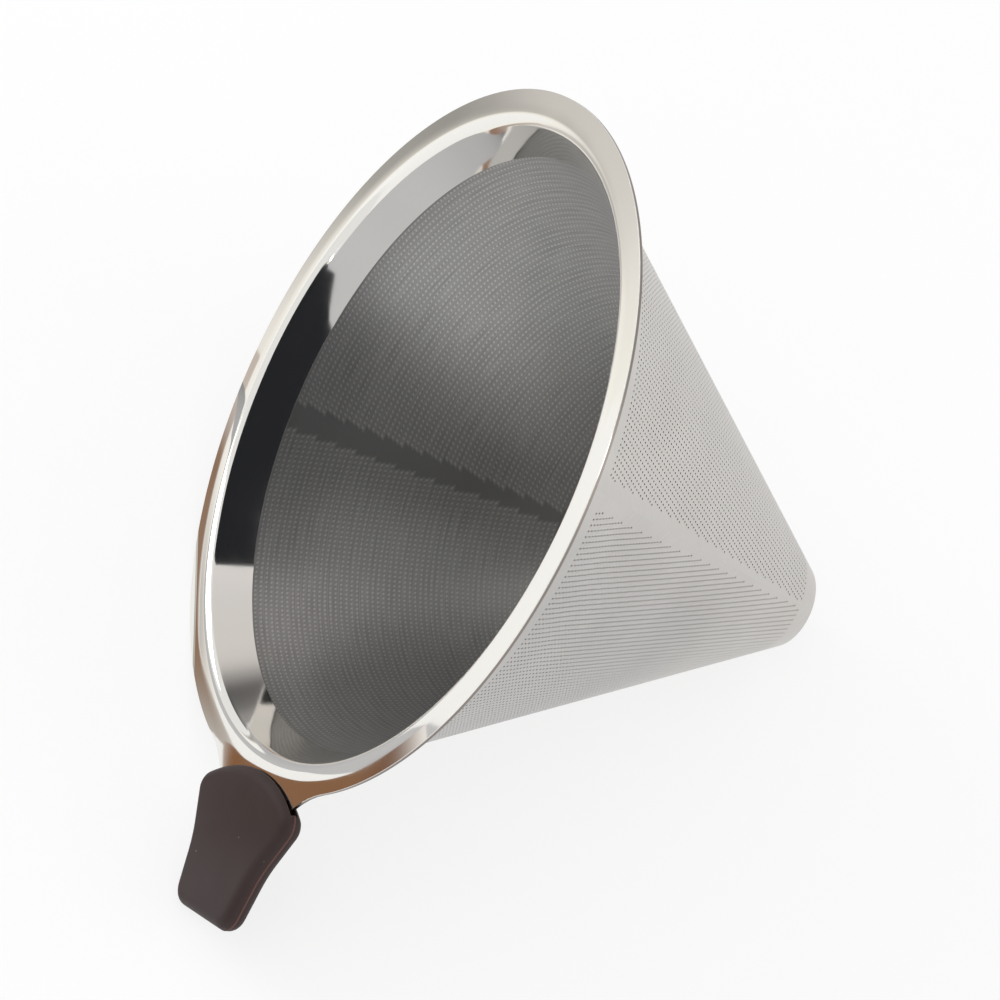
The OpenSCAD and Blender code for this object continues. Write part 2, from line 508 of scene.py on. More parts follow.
@dataclass
class PerforatedCone:
    """Outer cone of two punched half sheets, each rolled from one flat piece.

    Attributes:
        shape: The cone's form.
        holes: Where the holes are.
        finish: The sheets' finish.
        border_row: How far above the collar's lower edge the plain border has its row of points.
        hole_margin: Faces up to this many times a hole's area are punched out.
        smooth_below: Edges flatter than this are shaded smooth.
    """

    shape: ConeShape
    holes: HoleField
    finish: RolledSteel = field(default_factory=RolledSteel)
    border_row: float = 3 * MM
    hole_margin: float = 1.2
    smooth_below: float = math.radians(30)

    def punched_quarter(self) -> bpy.types.Object:
        """Punch a quarter of the sheet flat, from a grid whose points are the hole centres.

        Returns:
            The open sheet, its apex at the origin and its middle line along +Y.
        """
        holes, shape = self.holes, self.shape
        columns = holes.columns(shape) + 1
        rows = holes.arcs + 4
        bpy.ops.mesh.primitive_grid_add(x_subdivisions=columns, y_subdivisions=rows, size=2)
        sheet = bpy.context.object
        points = points_of(sheet)
        column = (points[:, 0] + 1) / 2 * columns - 1
        row = (points[:, 1] + 1) / 2 * rows - 2
        place_points(sheet, np.stack([column, row, 0 * row], 1))
        edge = self.side_of_field(row)
        along = (column + self.stagger(row)) * holes.hole_pitch
        punched = (row > -0.5) & (row < holes.arcs - 0.5) & (along < edge)
        select_only(sheet)
        bpy.ops.object.mode_set(mode="EDIT")
        bpy.ops.mesh.select_mode(type="VERT")
        bpy.ops.mesh.select_all(action="DESELECT")
        mesh = bmesh.from_edit_mesh(sheet.data)
        for point, hit in zip(mesh.verts, punched):
            point.select_set(bool(hit))
        mesh.select_flush_mode()
        bmesh.update_edit_mesh(sheet.data)
        bpy.ops.mesh.bevel(
            offset=holes.hole_reach, offset_type="OFFSET", affect="VERTICES", segments=1
        )
        bpy.ops.mesh.select_mode(type="FACE")
        bpy.ops.mesh.select_all(action="DESELECT")
        mesh = bmesh.from_edit_mesh(sheet.data)
        hole_area = 2 * holes.hole_reach**2
        for face in mesh.faces:
            face.select_set(
                len(face.verts) == 4 and face.calc_area() < hole_area * self.hole_margin
            )
        bmesh.update_edit_mesh(sheet.data)
        bpy.ops.mesh.delete(type="FACE")
        bpy.ops.object.mode_set(mode="OBJECT")
        return sheet

    def stagger(self, row: np.ndarray) -> np.ndarray:
        """Shift each second arc of holes by half a pitch."""
        return 0.5 * (np.round(row).astype(int) % 2)

    def side_of_field(self, row: np.ndarray) -> np.ndarray:
        """Distance along an arc from the middle line to the plain band."""
        slant = self.holes.first_slant + row * self.holes.arc_pitch
        return (math.pi / 2 - self.holes.band_half_angle) * math.sin(self.shape.half_angle) * slant

    def slant_of(self, row: np.ndarray) -> np.ndarray:
        """Slant distance of a grid row, the outer rows drawn out into the plain borders.

        Args:
            row: Grid rows, counted from the lowest arc of holes.

        Returns:
            The slant distance of each.
        """
        holes, shape = self.holes, self.shape
        low = shape.base_radius / math.sin(shape.half_angle)
        last = holes.arcs
        return np.interp(
            row,
            [-2, -1, last, last + 1, last + 2],
            [low, holes.first_slant - holes.arc_pitch, holes.first_slant + last * holes.arc_pitch,
             shape.collar_slant + self.border_row, shape.sheet_top],
        )

    def half_sheet(self) -> bpy.types.Object:
        """Shape, trim and mirror the punched quarter, and roll the half sheet onto the cone.

        Returns:
            The half sheet on the handle's side, with its flat map.
        """
        sheet = self.punched_quarter()
        points = points_of(sheet)
        slant = self.slant_of(points[:, 1])
        along = (points[:, 0] + self.stagger(points[:, 1])) * self.holes.hole_pitch
        around = along / self.slant_of(np.round(points[:, 1]))
        place_points(
            sheet, np.stack([slant * np.sin(around), slant * np.cos(around), 0 * slant], 1)
        )
        side = math.pi / 2 * math.sin(self.shape.half_angle)
        for normal in ((-1, 0, 0), (math.cos(side), -math.sin(side), 0)):
            bpy.ops.object.mode_set(mode="EDIT")
            bpy.ops.mesh.select_all(action="SELECT")
            bpy.ops.mesh.bisect(
                plane_co=(0, 0, 0), plane_no=normal, clear_outer=True, threshold=SAME_PLACE / 10
            )
            bpy.ops.object.mode_set(mode="OBJECT")
        apply_modifier(sheet, "MIRROR", merge_threshold=SAME_PLACE)
        points = points_of(sheet)
        for layer in list(sheet.data.uv_layers):
            sheet.data.uv_layers.remove(layer)
        flat = sheet.data.uv_layers.new(name="flat")
        corner = np.empty(len(sheet.data.loops), int)
        sheet.data.loops.foreach_get("vertex_index", corner)
        flat.data.foreach_set("uv", points[corner, :2].ravel())
        bpy.ops.object.mode_set(mode="EDIT")
        bpy.ops.mesh.select_all(action="SELECT")
        bpy.ops.mesh.normals_make_consistent(inside=False)
        bpy.ops.object.mode_set(mode="OBJECT")
        if sheet.data.polygons[0].normal.z < 0:
            sheet.data.flip_normals()
        apply_modifier(sheet, "SOLIDIFY", thickness=self.shape.shell_sheet, offset=-1)
        place_points(sheet, self.shape.rolled(points_of(sheet)))
        select_only(sheet)
        bpy.ops.object.shade_smooth_by_angle(angle=self.smooth_below)
        return sheet

    def build(self, pose: RestingPose) -> None:
        """Make both half sheets and lay them down.

        Args:
            pose: How the filter lies.
        """
        material = self.finish.material()
        near = self.half_sheet()
        select_only(near)
        bpy.ops.object.duplicate()
        opposite = bpy.context.object
        near.matrix_world = Matrix.Rotation(self.holes.seam_turn, 4, "Z")
        opposite.matrix_world = Matrix.Rotation(self.holes.seam_turn + math.pi, 4, "Z")
        finish_piece(near, "punched_half_near_handle", material, pose, Part.CONE)
        finish_piece(opposite, "punched_half_opposite", material, pose, Part.CONE)


@dataclass(frozen=True)
class WovenWire:
    """Fine woven stainless wire: grey, with a soft silky streak of painted sheen.

    The real threads are too fine to show, so the weave is drawn coarser than it is.

    Attributes:
        colour: The weave over a hole, in the light streaks of its painted sheen.
        shade: The weave over a hole, in the dark streaks of its painted sheen.
        painted_shade_over_plain: Painted shade on the weave where plain sheet lies under it and
            lets no light through.
        lit: The painted dot of light where a hole lies under the weave.
        painted_hole_shade: Painted shade on the weave's outer side, so that the holes look dark.
        roughness: How dull the wires are.
        metallic: Share of bare wire, the rest being gaps.
        thread_pitch: Distance between two drawn threads.
        spot: Where a dot's edge begins and ends, in pitches from the hole's middle.
        streak_length: Length of a streak, round the axis.
        streak_width: Width of a streak.
        streak_range: Values of the streaks' noise that are darkest and lightest.
        streak_share: How much the streaks stand out next to the threads.
        depth: How far the threads stand out.
        strength: How strongly they catch the light.
    """

    colour: str = "#999896"
    shade: str = "#858483"
    painted_shade_over_plain: str = "#7d7c7b"
    lit: str = "#b2b0ad"
    painted_hole_shade: str = "#3f3d3b"
    roughness: float = 0.33
    metallic: float = 0.78
    thread_pitch: float = 0.3 * MM
    spot: tuple[float, float] = (0.1, 0.3)
    streak_length: float = 9 * MM
    streak_width: float = 0.28 * MM
    streak_range: tuple[float, float] = (0.3, 0.7)
    streak_share: float = 0.4
    depth: float = 0.04 * MM
    strength: float = 0.1

    def material(self, shape: ConeShape, holes: HoleField) -> bpy.types.Material:
        """Build the finish, with painted light inside over each hole, painted shade where no hole
        is, and painted shade where it is seen in a hole.

        Args:
            shape: The cone's form.
            holes: The outer sheet's holes.

        Returns:
            The material.
        """
        material, tree, output = new_material("woven_stainless_wire")
        place = add_node(tree, "ShaderNodeUVMap", uv_map="turn_and_slant")
        parts = add_node(tree, "ShaderNodeSeparateXYZ", {0: place.outputs[0]})
        slant = parts.outputs[1]
        # The place along an arc of holes, counted from the middle of its half sheet.
        half_turn = add_node(
            tree, "ShaderNodeMath", {0: parts.outputs[0], 1: 2.0}, operation="MULTIPLY"
        )
        nearest = add_node(tree, "ShaderNodeMath", {0: half_turn.outputs[0]}, operation="ROUND")
        turn = add_node(
            tree, "ShaderNodeMath",
            {0: half_turn.outputs[0], 1: nearest.outputs[0]},
            operation="SUBTRACT",
        )
        angle = add_node(
            tree, "ShaderNodeMath",
            {0: turn.outputs[0], 1: math.pi * math.sin(shape.half_angle)},
            operation="MULTIPLY",
        )
        along = add_node(
            tree, "ShaderNodeMath", {0: angle.outputs[0], 1: slant}, operation="MULTIPLY"
        )
        arc = add_node(
            tree, "ShaderNodeMath", {0: slant, 1: holes.first_slant}, operation="SUBTRACT"
        )
        arc_row = add_node(
            tree, "ShaderNodeMath", {0: arc.outputs[0], 1: holes.arc_pitch}, operation="DIVIDE"
        )
        # The nearest hole of the nearest arc, and how far off its middle the point is.
        row = add_node(tree, "ShaderNodeMath", {0: arc_row.outputs[0]}, operation="ROUND")
        odd = add_node(
            tree, "ShaderNodeMath", {0: row.outputs[0], 1: 2.0}, operation="FLOORED_MODULO"
        )
        stagger = add_node(
            tree, "ShaderNodeMath", {0: odd.outputs[0], 1: 0.5}, operation="MULTIPLY"
        )
        count = add_node(
            tree, "ShaderNodeMath", {0: along.outputs[0], 1: holes.hole_pitch}, operation="DIVIDE"
        )
        distance = add_node(tree, "ShaderNodeMath", {0: count.outputs[0]}, operation="ABSOLUTE")
        shifted = add_node(
            tree, "ShaderNodeMath",
            {0: distance.outputs[0], 1: stagger.outputs[0]},
            operation="SUBTRACT",
        )
        column = add_node(tree, "ShaderNodeMath", {0: shifted.outputs[0]}, operation="ROUND")
        off_x = add_node(
            tree, "ShaderNodeMath",
            {0: shifted.outputs[0], 1: column.outputs[0]},
            operation="SUBTRACT",
        )
        off_y = add_node(
            tree, "ShaderNodeMath", {0: arc_row.outputs[0], 1: row.outputs[0]}, operation="SUBTRACT"
        )
        offset = add_node(tree, "ShaderNodeCombineXYZ", {0: off_x.outputs[0], 1: off_y.outputs[0]})
        reach = add_node(tree, "ShaderNodeVectorMath", {0: offset.outputs[0]}, operation="LENGTH")
        spot = add_node(
            tree, "ShaderNodeMapRange",
            {"Value": reach.outputs["Value"], "From Min": self.spot[0], "From Max": self.spot[1],
             "To Min": 1.0, "To Max": 0.0},
            interpolation_type="SMOOTHSTEP",
        )
        # Only holes that are punched count: none in the plain bands and borders.
        centre = add_node(
            tree, "ShaderNodeMath", {0: column.outputs[0], 1: stagger.outputs[0]}, operation="ADD"
        )
        to_band = (math.pi / 2 - holes.band_half_angle) * math.sin(shape.half_angle)
        edge_factor = to_band / holes.hole_pitch
        row_slant = add_node(
            tree, "ShaderNodeMath",
            {0: row.outputs[0], 1: holes.arc_pitch * edge_factor,
             2: holes.first_slant * edge_factor},
            operation="MULTIPLY_ADD",
        )
        inside = add_node(
            tree, "ShaderNodeMath",
            {0: centre.outputs[0], 1: row_slant.outputs[0]},
            operation="LESS_THAN",
        )
        above = add_node(
            tree, "ShaderNodeMath", {0: row.outputs[0], 1: -0.5}, operation="GREATER_THAN"
        )
        below = add_node(
            tree, "ShaderNodeMath", {0: row.outputs[0], 1: holes.arcs - 0.5}, operation="LESS_THAN"
        )
        between = add_node(
            tree, "ShaderNodeMath", {0: above.outputs[0], 1: below.outputs[0]}, operation="MULTIPLY"
        )
        punched = add_node(
            tree, "ShaderNodeMath",
            {0: between.outputs[0], 1: inside.outputs[0]},
            operation="MULTIPLY",
        )
        dot = add_node(
            tree, "ShaderNodeMath",
            {0: spot.outputs[0], 1: punched.outputs[0]},
            operation="MULTIPLY",
        )
        side = add_node(tree, "ShaderNodeAttribute", attribute_name="inner_side")
        # Silky streaks round the axis, painted as sheen in the colour and as a faint bump, and the
        # threads.
        flat = add_node(tree, "ShaderNodeCombineXYZ", {0: along.outputs[0], 1: slant})
        streak_place = add_node(
            tree, "ShaderNodeMapping",
            {"Vector": flat.outputs[0],
             "Scale": (1 / self.streak_length, 1 / self.streak_width, 1)},
        )
        streak = add_node(
            tree, "ShaderNodeTexNoise",
            {"Vector": streak_place.outputs[0], "Scale": 1.0, "Detail": 2.0},
        )
        threads = add_node(
            tree, "ShaderNodeMapping",
            {"Vector": flat.outputs[0], "Scale": (1 / self.thread_pitch, 1 / self.thread_pitch, 1)},
        )
        weave = add_node(tree, "ShaderNodeTexChecker", {"Vector": threads.outputs[0], "Scale": 1.0})
        tone = add_node(
            tree, "ShaderNodeMapRange",
            {"Value": streak.outputs[0], "From Min": self.streak_range[0],
             "From Max": self.streak_range[1], "To Min": 0.0, "To Max": 1.0},
        )
        # Painted sheen: the weave's tone swings between dark and light streaks.
        ground = add_node(
            tree, "ShaderNodeMix",
            {"Factor": tone.outputs[0], 6: linear(self.shade), 7: linear(self.colour)},
            data_type="RGBA",
        )
        # Painted shade: the weave is darker where no hole lets light through.
        plain = add_node(
            tree, "ShaderNodeMix",
            {"Factor": punched.outputs[0], 6: linear(self.painted_shade_over_plain), 7: ground.outputs[2]},
            data_type="RGBA",
        )
        # Painted light: a lighter dot over each punched hole, where light comes through.
        inner = add_node(
            tree, "ShaderNodeMix",
            {"Factor": dot.outputs[0], 6: plain.outputs[2], 7: linear(self.lit)}, data_type="RGBA",
        )
        # Painted shade: the outer side is dark, so that the weave seen in the holes looks shaded.
        colour = add_node(
            tree, "ShaderNodeMix",
            {"Factor": side.outputs["Fac"], 6: linear(self.painted_hole_shade), 7: inner.outputs[2]},
            data_type="RGBA",
        )
        height = add_node(
            tree, "ShaderNodeMath",
            {0: streak.outputs[0], 1: self.streak_share, 2: weave.outputs[1]},
            operation="MULTIPLY_ADD",
        )
        bump = add_node(
            tree, "ShaderNodeBump",
            {"Height": height.outputs[0], "Strength": self.strength, "Distance": self.depth},
        )
        shader = add_node(
            tree, "ShaderNodeBsdfPrincipled",
            {"Base Color": colour.outputs[2], "Metallic": self.metallic,
             "Roughness": self.roughness, "Normal": bump.outputs[0]},
        )
        tree.links.new(shader.outputs[0], output.inputs[0])
        return material


@dataclass
class WovenLining:
    """Woven lining inside the punched sheets.

    Attributes:
        shape: The cone's form.
        holes: Where the outer sheets' holes are.
        finish: The lining's finish.
        around: Number of faces round the axis.
        rings: Number of faces along the wall.
        smooth_below: Edges flatter than this are shaded smooth.
    """

    shape: ConeShape
    holes: HoleField
    finish: WovenWire = field(default_factory=WovenWire)
    around: int = 240
    rings: int = 48
    smooth_below: float = math.radians(30)

    def build(self, pose: RestingPose) -> None:
        """Make the lining from a flat grid that is rolled onto the cone, and lay it down.

        Args:
            pose: How the filter lies.
        """
        bpy.ops.mesh.primitive_grid_add(
            x_subdivisions=self.around, y_subdivisions=self.rings, size=2
        )
        lining = bpy.context.object
        points = points_of(lining)
        turn = (points[:, 0] + 1) / 2
        low = self.shape.slant_at(-self.shape.depth, self.shape.lining_outer)
        slant = low + (points[:, 1] + 1) / 2 * (self.shape.wall_top - low)
        for layer in list(lining.data.uv_layers):
            lining.data.uv_layers.remove(layer)
        layer = lining.data.uv_layers.new(name="turn_and_slant")
        corner = np.empty(len(lining.data.loops), int)
        lining.data.loops.foreach_get("vertex_index", corner)
        layer.data.foreach_set("uv", np.stack([turn, slant], 1)[corner].ravel())
        angle = (turn - 0.5) * 2 * math.pi * math.sin(self.shape.half_angle)
        flat = np.stack([slant * np.sin(angle), slant * np.cos(angle), 0 * slant], 1)
        rolled = self.shape.rolled(flat, self.shape.lining_outer)
        place_points(lining, rolled * np.array([-1, -1, 1]))
        select_only(lining)
        bpy.ops.object.mode_set(mode="EDIT")
        bpy.ops.mesh.select_all(action="SELECT")
        bpy.ops.mesh.remove_doubles(threshold=SAME_PLACE)
        bpy.ops.object.mode_set(mode="OBJECT")
        apply_modifier(lining, "SOLIDIFY", thickness=self.shape.lining_sheet, offset=-1)
        # Marks the inner faces; the outer ones get the painted shade seen in the holes.
        side = lining.data.attributes.new("inner_side", "FLOAT", "FACE")
        inward = [face.normal.xy.dot(face.center.xy) < 0 for face in lining.data.polygons]
        side.data.foreach_set("value", inward)
        select_only(lining)
        bpy.ops.object.shade_smooth_by_angle(angle=self.smooth_below)
        lining.matrix_world = Matrix.Rotation(self.holes.seam_turn, 4, "Z")
        finish_piece(lining, "woven_lining_cone", self.finish.material(self.shape, self.holes),
                     pose, Part.LINING)


@dataclass(frozen=True)
class PolishedSteel:
    """Pressed stainless steel, buffed bright: a clear mirror, slightly hazy, its cut edge dull.

    Attributes:
        colour: The polished faces.
        edge: The cut edge.
        roughness: How dull the clearest places are.
        haze: How much duller the smears are.
        edge_haze: How much duller the cut edge is.
        edge_width: How far in from the flange's edge the cut edge is coloured.
        edge_below: How far below the top face the cut edge begins.
        smear_size: Size of the smears.
        smear_range: Values of the smears' noise that are clearest and haziest.
        wave_size: Size of the waves that pressing left.
        wave_depth: Depth of those waves.
        wave_strength: How strongly they bend a reflection.
    """

    colour: str = "#f1efea"
    edge: str = "#8f8781"
    roughness: float = 0.05
    haze: float = 0.04
    edge_haze: float = 0.25
    edge_width: float = 0.4 * MM
    edge_below: float = 0.12 * MM
    smear_size: float = 11 * MM
    smear_range: tuple[float, float] = (0.35, 0.7)
    wave_size: float = 16 * MM
    wave_depth: float = 0.4 * MM
    wave_strength: float = 0.12

    def material(self, pose: RestingPose, shape: ConeShape) -> bpy.types.Material:
        """Build the finish.

        Args:
            pose: How the filter lies.
            shape: The cone's form, for where the sheet's cut edge is.

        Returns:
            The material.
        """
        material, tree, output = new_material("polished_stainless_steel")
        parts = add_node(tree, "ShaderNodeSeparateXYZ", {0: pose.own_point(tree)})
        level = add_node(tree, "ShaderNodeCombineXYZ", {0: parts.outputs[0], 1: parts.outputs[1]})
        reach = add_node(tree, "ShaderNodeVectorMath", {0: level.outputs[0]}, operation="LENGTH")
        outer = add_node(
            tree, "ShaderNodeMath",
            {0: reach.outputs["Value"], 1: shape.rim_radius - self.edge_width},
            operation="GREATER_THAN",
        )
        below = add_node(
            tree, "ShaderNodeMath",
            {0: parts.outputs[2], 1: -self.edge_below},
            operation="LESS_THAN",
        )
        cut = add_node(
            tree, "ShaderNodeMath", {0: outer.outputs[0], 1: below.outputs[0]}, operation="MULTIPLY"
        )
        colour = add_node(
            tree, "ShaderNodeMix",
            {"Factor": cut.outputs[0], 6: linear(self.colour), 7: linear(self.edge)},
            data_type="RGBA",
        )
        where = add_node(tree, "ShaderNodeTexCoord")
        smears = add_node(
            tree, "ShaderNodeTexNoise",
            {"Vector": where.outputs["Object"], "Scale": 1 / self.smear_size, "Detail": 3.0},
        )
        rough = add_node(
            tree, "ShaderNodeMapRange",
            {"Value": smears.outputs[0], "From Min": self.smear_range[0],
             "From Max": self.smear_range[1], "To Min": self.roughness,
             "To Max": self.roughness + self.haze},
        )
        dulled = add_node(
            tree, "ShaderNodeMath", {0: cut.outputs[0], 1: self.edge_haze, 2: rough.outputs[0]},
            operation="MULTIPLY_ADD",
        )
        waves = add_node(
            tree, "ShaderNodeTexNoise",
            {"Vector": where.outputs["Object"], "Scale": 1 / self.wave_size, "Detail": 1.0},
        )
        bump = add_node(
            tree, "ShaderNodeBump",
            {"Height": waves.outputs[0], "Strength": self.wave_strength,
             "Distance": self.wave_depth},
        )
        shader = add_node(
            tree, "ShaderNodeBsdfPrincipled",
            {"Base Color": colour.outputs[2], "Metallic": 1.0, "Roughness": dulled.outputs[0],
             "Normal": bump.outputs[0]},
        )
        tree.links.new(shader.outputs[0], output.inputs[0])
        return material


@dataclass
class PressedRim:
    """Flange, bend, collar and handle tab, pressed from one sheet.

    Attributes:
        shape: The cone's form.
        finish: The rim's finish.
        around: Number of points round the axis.
        lead_steps: Steps along the gentle start of the bend.
        bend_steps: Steps along the bend.
        collar_steps: Steps along the collar.
        fillet_steps: Steps along the hollow corner at the tab.
        corner_steps: Steps along the tab's own corner.
        bow: How far the collar's middle is pressed outwards.
        tab_width: Width of the tab.
        tab_fillet: Radius of the hollow corner between flange and tab.
        tab_corner: Radius of the tab's own corners.
        tab_end: From the axis to the tab's end.
        edge_round: Radius of the cut edge's rounding.
        weld: Points closer than this are merged where the tab meets the flange.
        sharp_above: Edges sharper than this are rounded.
        smooth_below: Edges flatter than this are shaded smooth.
    """

    shape: ConeShape
    finish: PolishedSteel = field(default_factory=PolishedSteel)
    around: int = 360
    lead_steps: int = 4
    bend_steps: int = 16
    collar_steps: int = 6
    fillet_steps: int = 60
    corner_steps: int = 10
    bow: float = 0.06 * MM
    tab_width: float = 16 * MM
    tab_fillet: float = 20 * MM
    tab_corner: float = 2.5 * MM
    tab_end: float = 83.1 * MM
    edge_round: float = 0.14 * MM
    weld: float = 0.02 * MM
    sharp_above: float = math.radians(60)
    smooth_below: float = math.radians(40)

    def fillet_centre(self) -> tuple[float, float]:
        """Middle of the hollow corner between the flange and the tab."""
        y = self.tab_width / 2 + self.tab_fillet
        return math.sqrt((self.shape.rim_radius + self.tab_fillet) ** 2 - y * y), y

    def tab_line(self, grow: float = 0.0) -> np.ndarray:
        """Give the tab's outline from its hollow corner on +Y to the one on -Y.

        Args:
            grow: How far the outline is drawn outwards, for the slot.

        Returns:
            Points of x and y, closely spaced.
        """
        x, y = self.fillet_centre()
        radius = self.tab_fillet - grow
        start = math.pi + math.atan2(y, x)
        fillet = [
            (x + radius * math.cos(a), y + radius * math.sin(a))
            for a in np.linspace(start, 1.5 * math.pi, self.fillet_steps)
        ]
        middle = self.tab_end - self.tab_corner
        corner_radius = self.tab_corner + grow
        corner = [
            (middle + corner_radius * math.sin(a),
             self.tab_width / 2 - self.tab_corner + corner_radius * math.cos(a))
            for a in np.linspace(0, math.pi / 2, self.corner_steps)
        ]
        one = fillet + corner
        return np.array(one + [(px, -py) for px, py in reversed(one)])

    def ring(self) -> bpy.types.Object:
        """Draw the flange, the bend and the collar as one open surface of rings.

        Returns:
            The open surface.
        """
        shape = self.shape
        bpy.ops.mesh.primitive_circle_add(
            vertices=self.around, radius=shape.rim_radius, fill_type="NOTHING"
        )
        ring = bpy.context.object
        centre, middle = shape.bend_centre
        first = centre - shape.bend_radius * math.sin(shape.lead_angle)
        drop = shape.bend_lead * math.tan(shape.lead_angle / 2)
        steps = [
            (first + shape.bend_lead * (1 - t), -drop * t * t)
            for t in np.linspace(0, 1, self.lead_steps + 1)[:-1]
        ]
        turns = np.linspace(shape.lead_angle, math.pi / 2 - shape.half_angle, self.bend_steps + 1)
        steps += [
            (centre - shape.bend_radius * math.sin(t), middle + shape.bend_radius * math.cos(t))
            for t in turns
        ]
        bend_end = shape.slant_at(steps[-1][1], shape.collar_inner)
        steps += [
            shape.wall(
                bend_end + t * (shape.collar_slant - bend_end),
                shape.collar_inner + 4 * self.bow * t * (1 - t),
            )
            for t in np.linspace(0, 1, self.collar_steps + 1)[1:]
        ]
        bpy.ops.object.mode_set(mode="EDIT")
        bpy.ops.mesh.select_all(action="SELECT")
        radius, height = shape.rim_radius, 0.0
        for next_radius, next_height in steps:
            bpy.ops.mesh.extrude_edges_move()
            scale = next_radius / radius
            bpy.ops.transform.resize(value=(scale, scale, 1), center_override=(0, 0, 0))
            bpy.ops.transform.translate(value=(0, 0, next_height - height))
            radius, height = next_radius, next_height
        bpy.ops.object.mode_set(mode="OBJECT")
        return ring

    def draw_tab(self, ring: bpy.types.Object) -> None:
        """Draw the flange's edge out into the tab.

        Args:
            ring: The open surface of the flange, the bend and the collar.
        """
        shape = self.shape
        x, y = self.fillet_centre()
        reach = math.atan2(y, x)
        bpy.ops.object.mode_set(mode="EDIT")
        bpy.ops.mesh.select_mode(type="EDGE")
        bpy.ops.mesh.select_all(action="DESELECT")
        mesh = bmesh.from_edit_mesh(ring.data)
        for edge in mesh.edges:
            on_rim = all(abs(v.co.xy.length - shape.rim_radius) < SAME_PLACE for v in edge.verts)
            edge.select_set(
                on_rim and all(abs(math.atan2(v.co.y, v.co.x)) < reach for v in edge.verts),
            )
        bmesh.update_edit_mesh(ring.data)
        bpy.ops.mesh.extrude_edges_move()
        mesh = bmesh.from_edit_mesh(ring.data)
        drawn = sorted((v for v in mesh.verts if v.select), key=lambda v: -v.co.y)
        line = self.tab_line()
        length = np.concatenate([[0], np.cumsum(np.hypot(*np.diff(line, axis=0).T))])
        for k, vertex in enumerate(drawn):
            at = length[-1] * k / (len(drawn) - 1)
            vertex.co.x = np.interp(at, length, line[:, 0])
            vertex.co.y = np.interp(at, length, line[:, 1])
        bmesh.update_edit_mesh(ring.data)
        bpy.ops.mesh.select_all(action="SELECT")
        bpy.ops.mesh.remove_doubles(threshold=self.weld)
        bpy.ops.mesh.normals_make_consistent(inside=False)
        bpy.ops.object.mode_set(mode="OBJECT")
        flange = max(ring.data.polygons, key=lambda face: face.center.z)
        if flange.normal.z < 0:
            ring.data.flip_normals()

    def build(self, pose: RestingPose) -> None:
        """Make the rim, thicken it and lay it down.

        Args:
            pose: How the filter lies.
        """
        ring = self.ring()
        self.draw_tab(ring)
        apply_modifier(
            ring, "SOLIDIFY", thickness=self.shape.rim_sheet, offset=-1, use_even_offset=True
        )
        apply_modifier(ring, "BEVEL", width=self.edge_round, segments=3, limit_method="ANGLE",
                       angle_limit=self.sharp_above)
        select_only(ring)
        bpy.ops.object.shade_smooth_by_angle(angle=self.smooth_below)
        apply_modifier(ring, "WEIGHTED_NORMAL", keep_sharp=True)
        finish_piece(
            ring, "pressed_rim", self.finish.material(pose, self.shape), pose, Part.RIM
        )


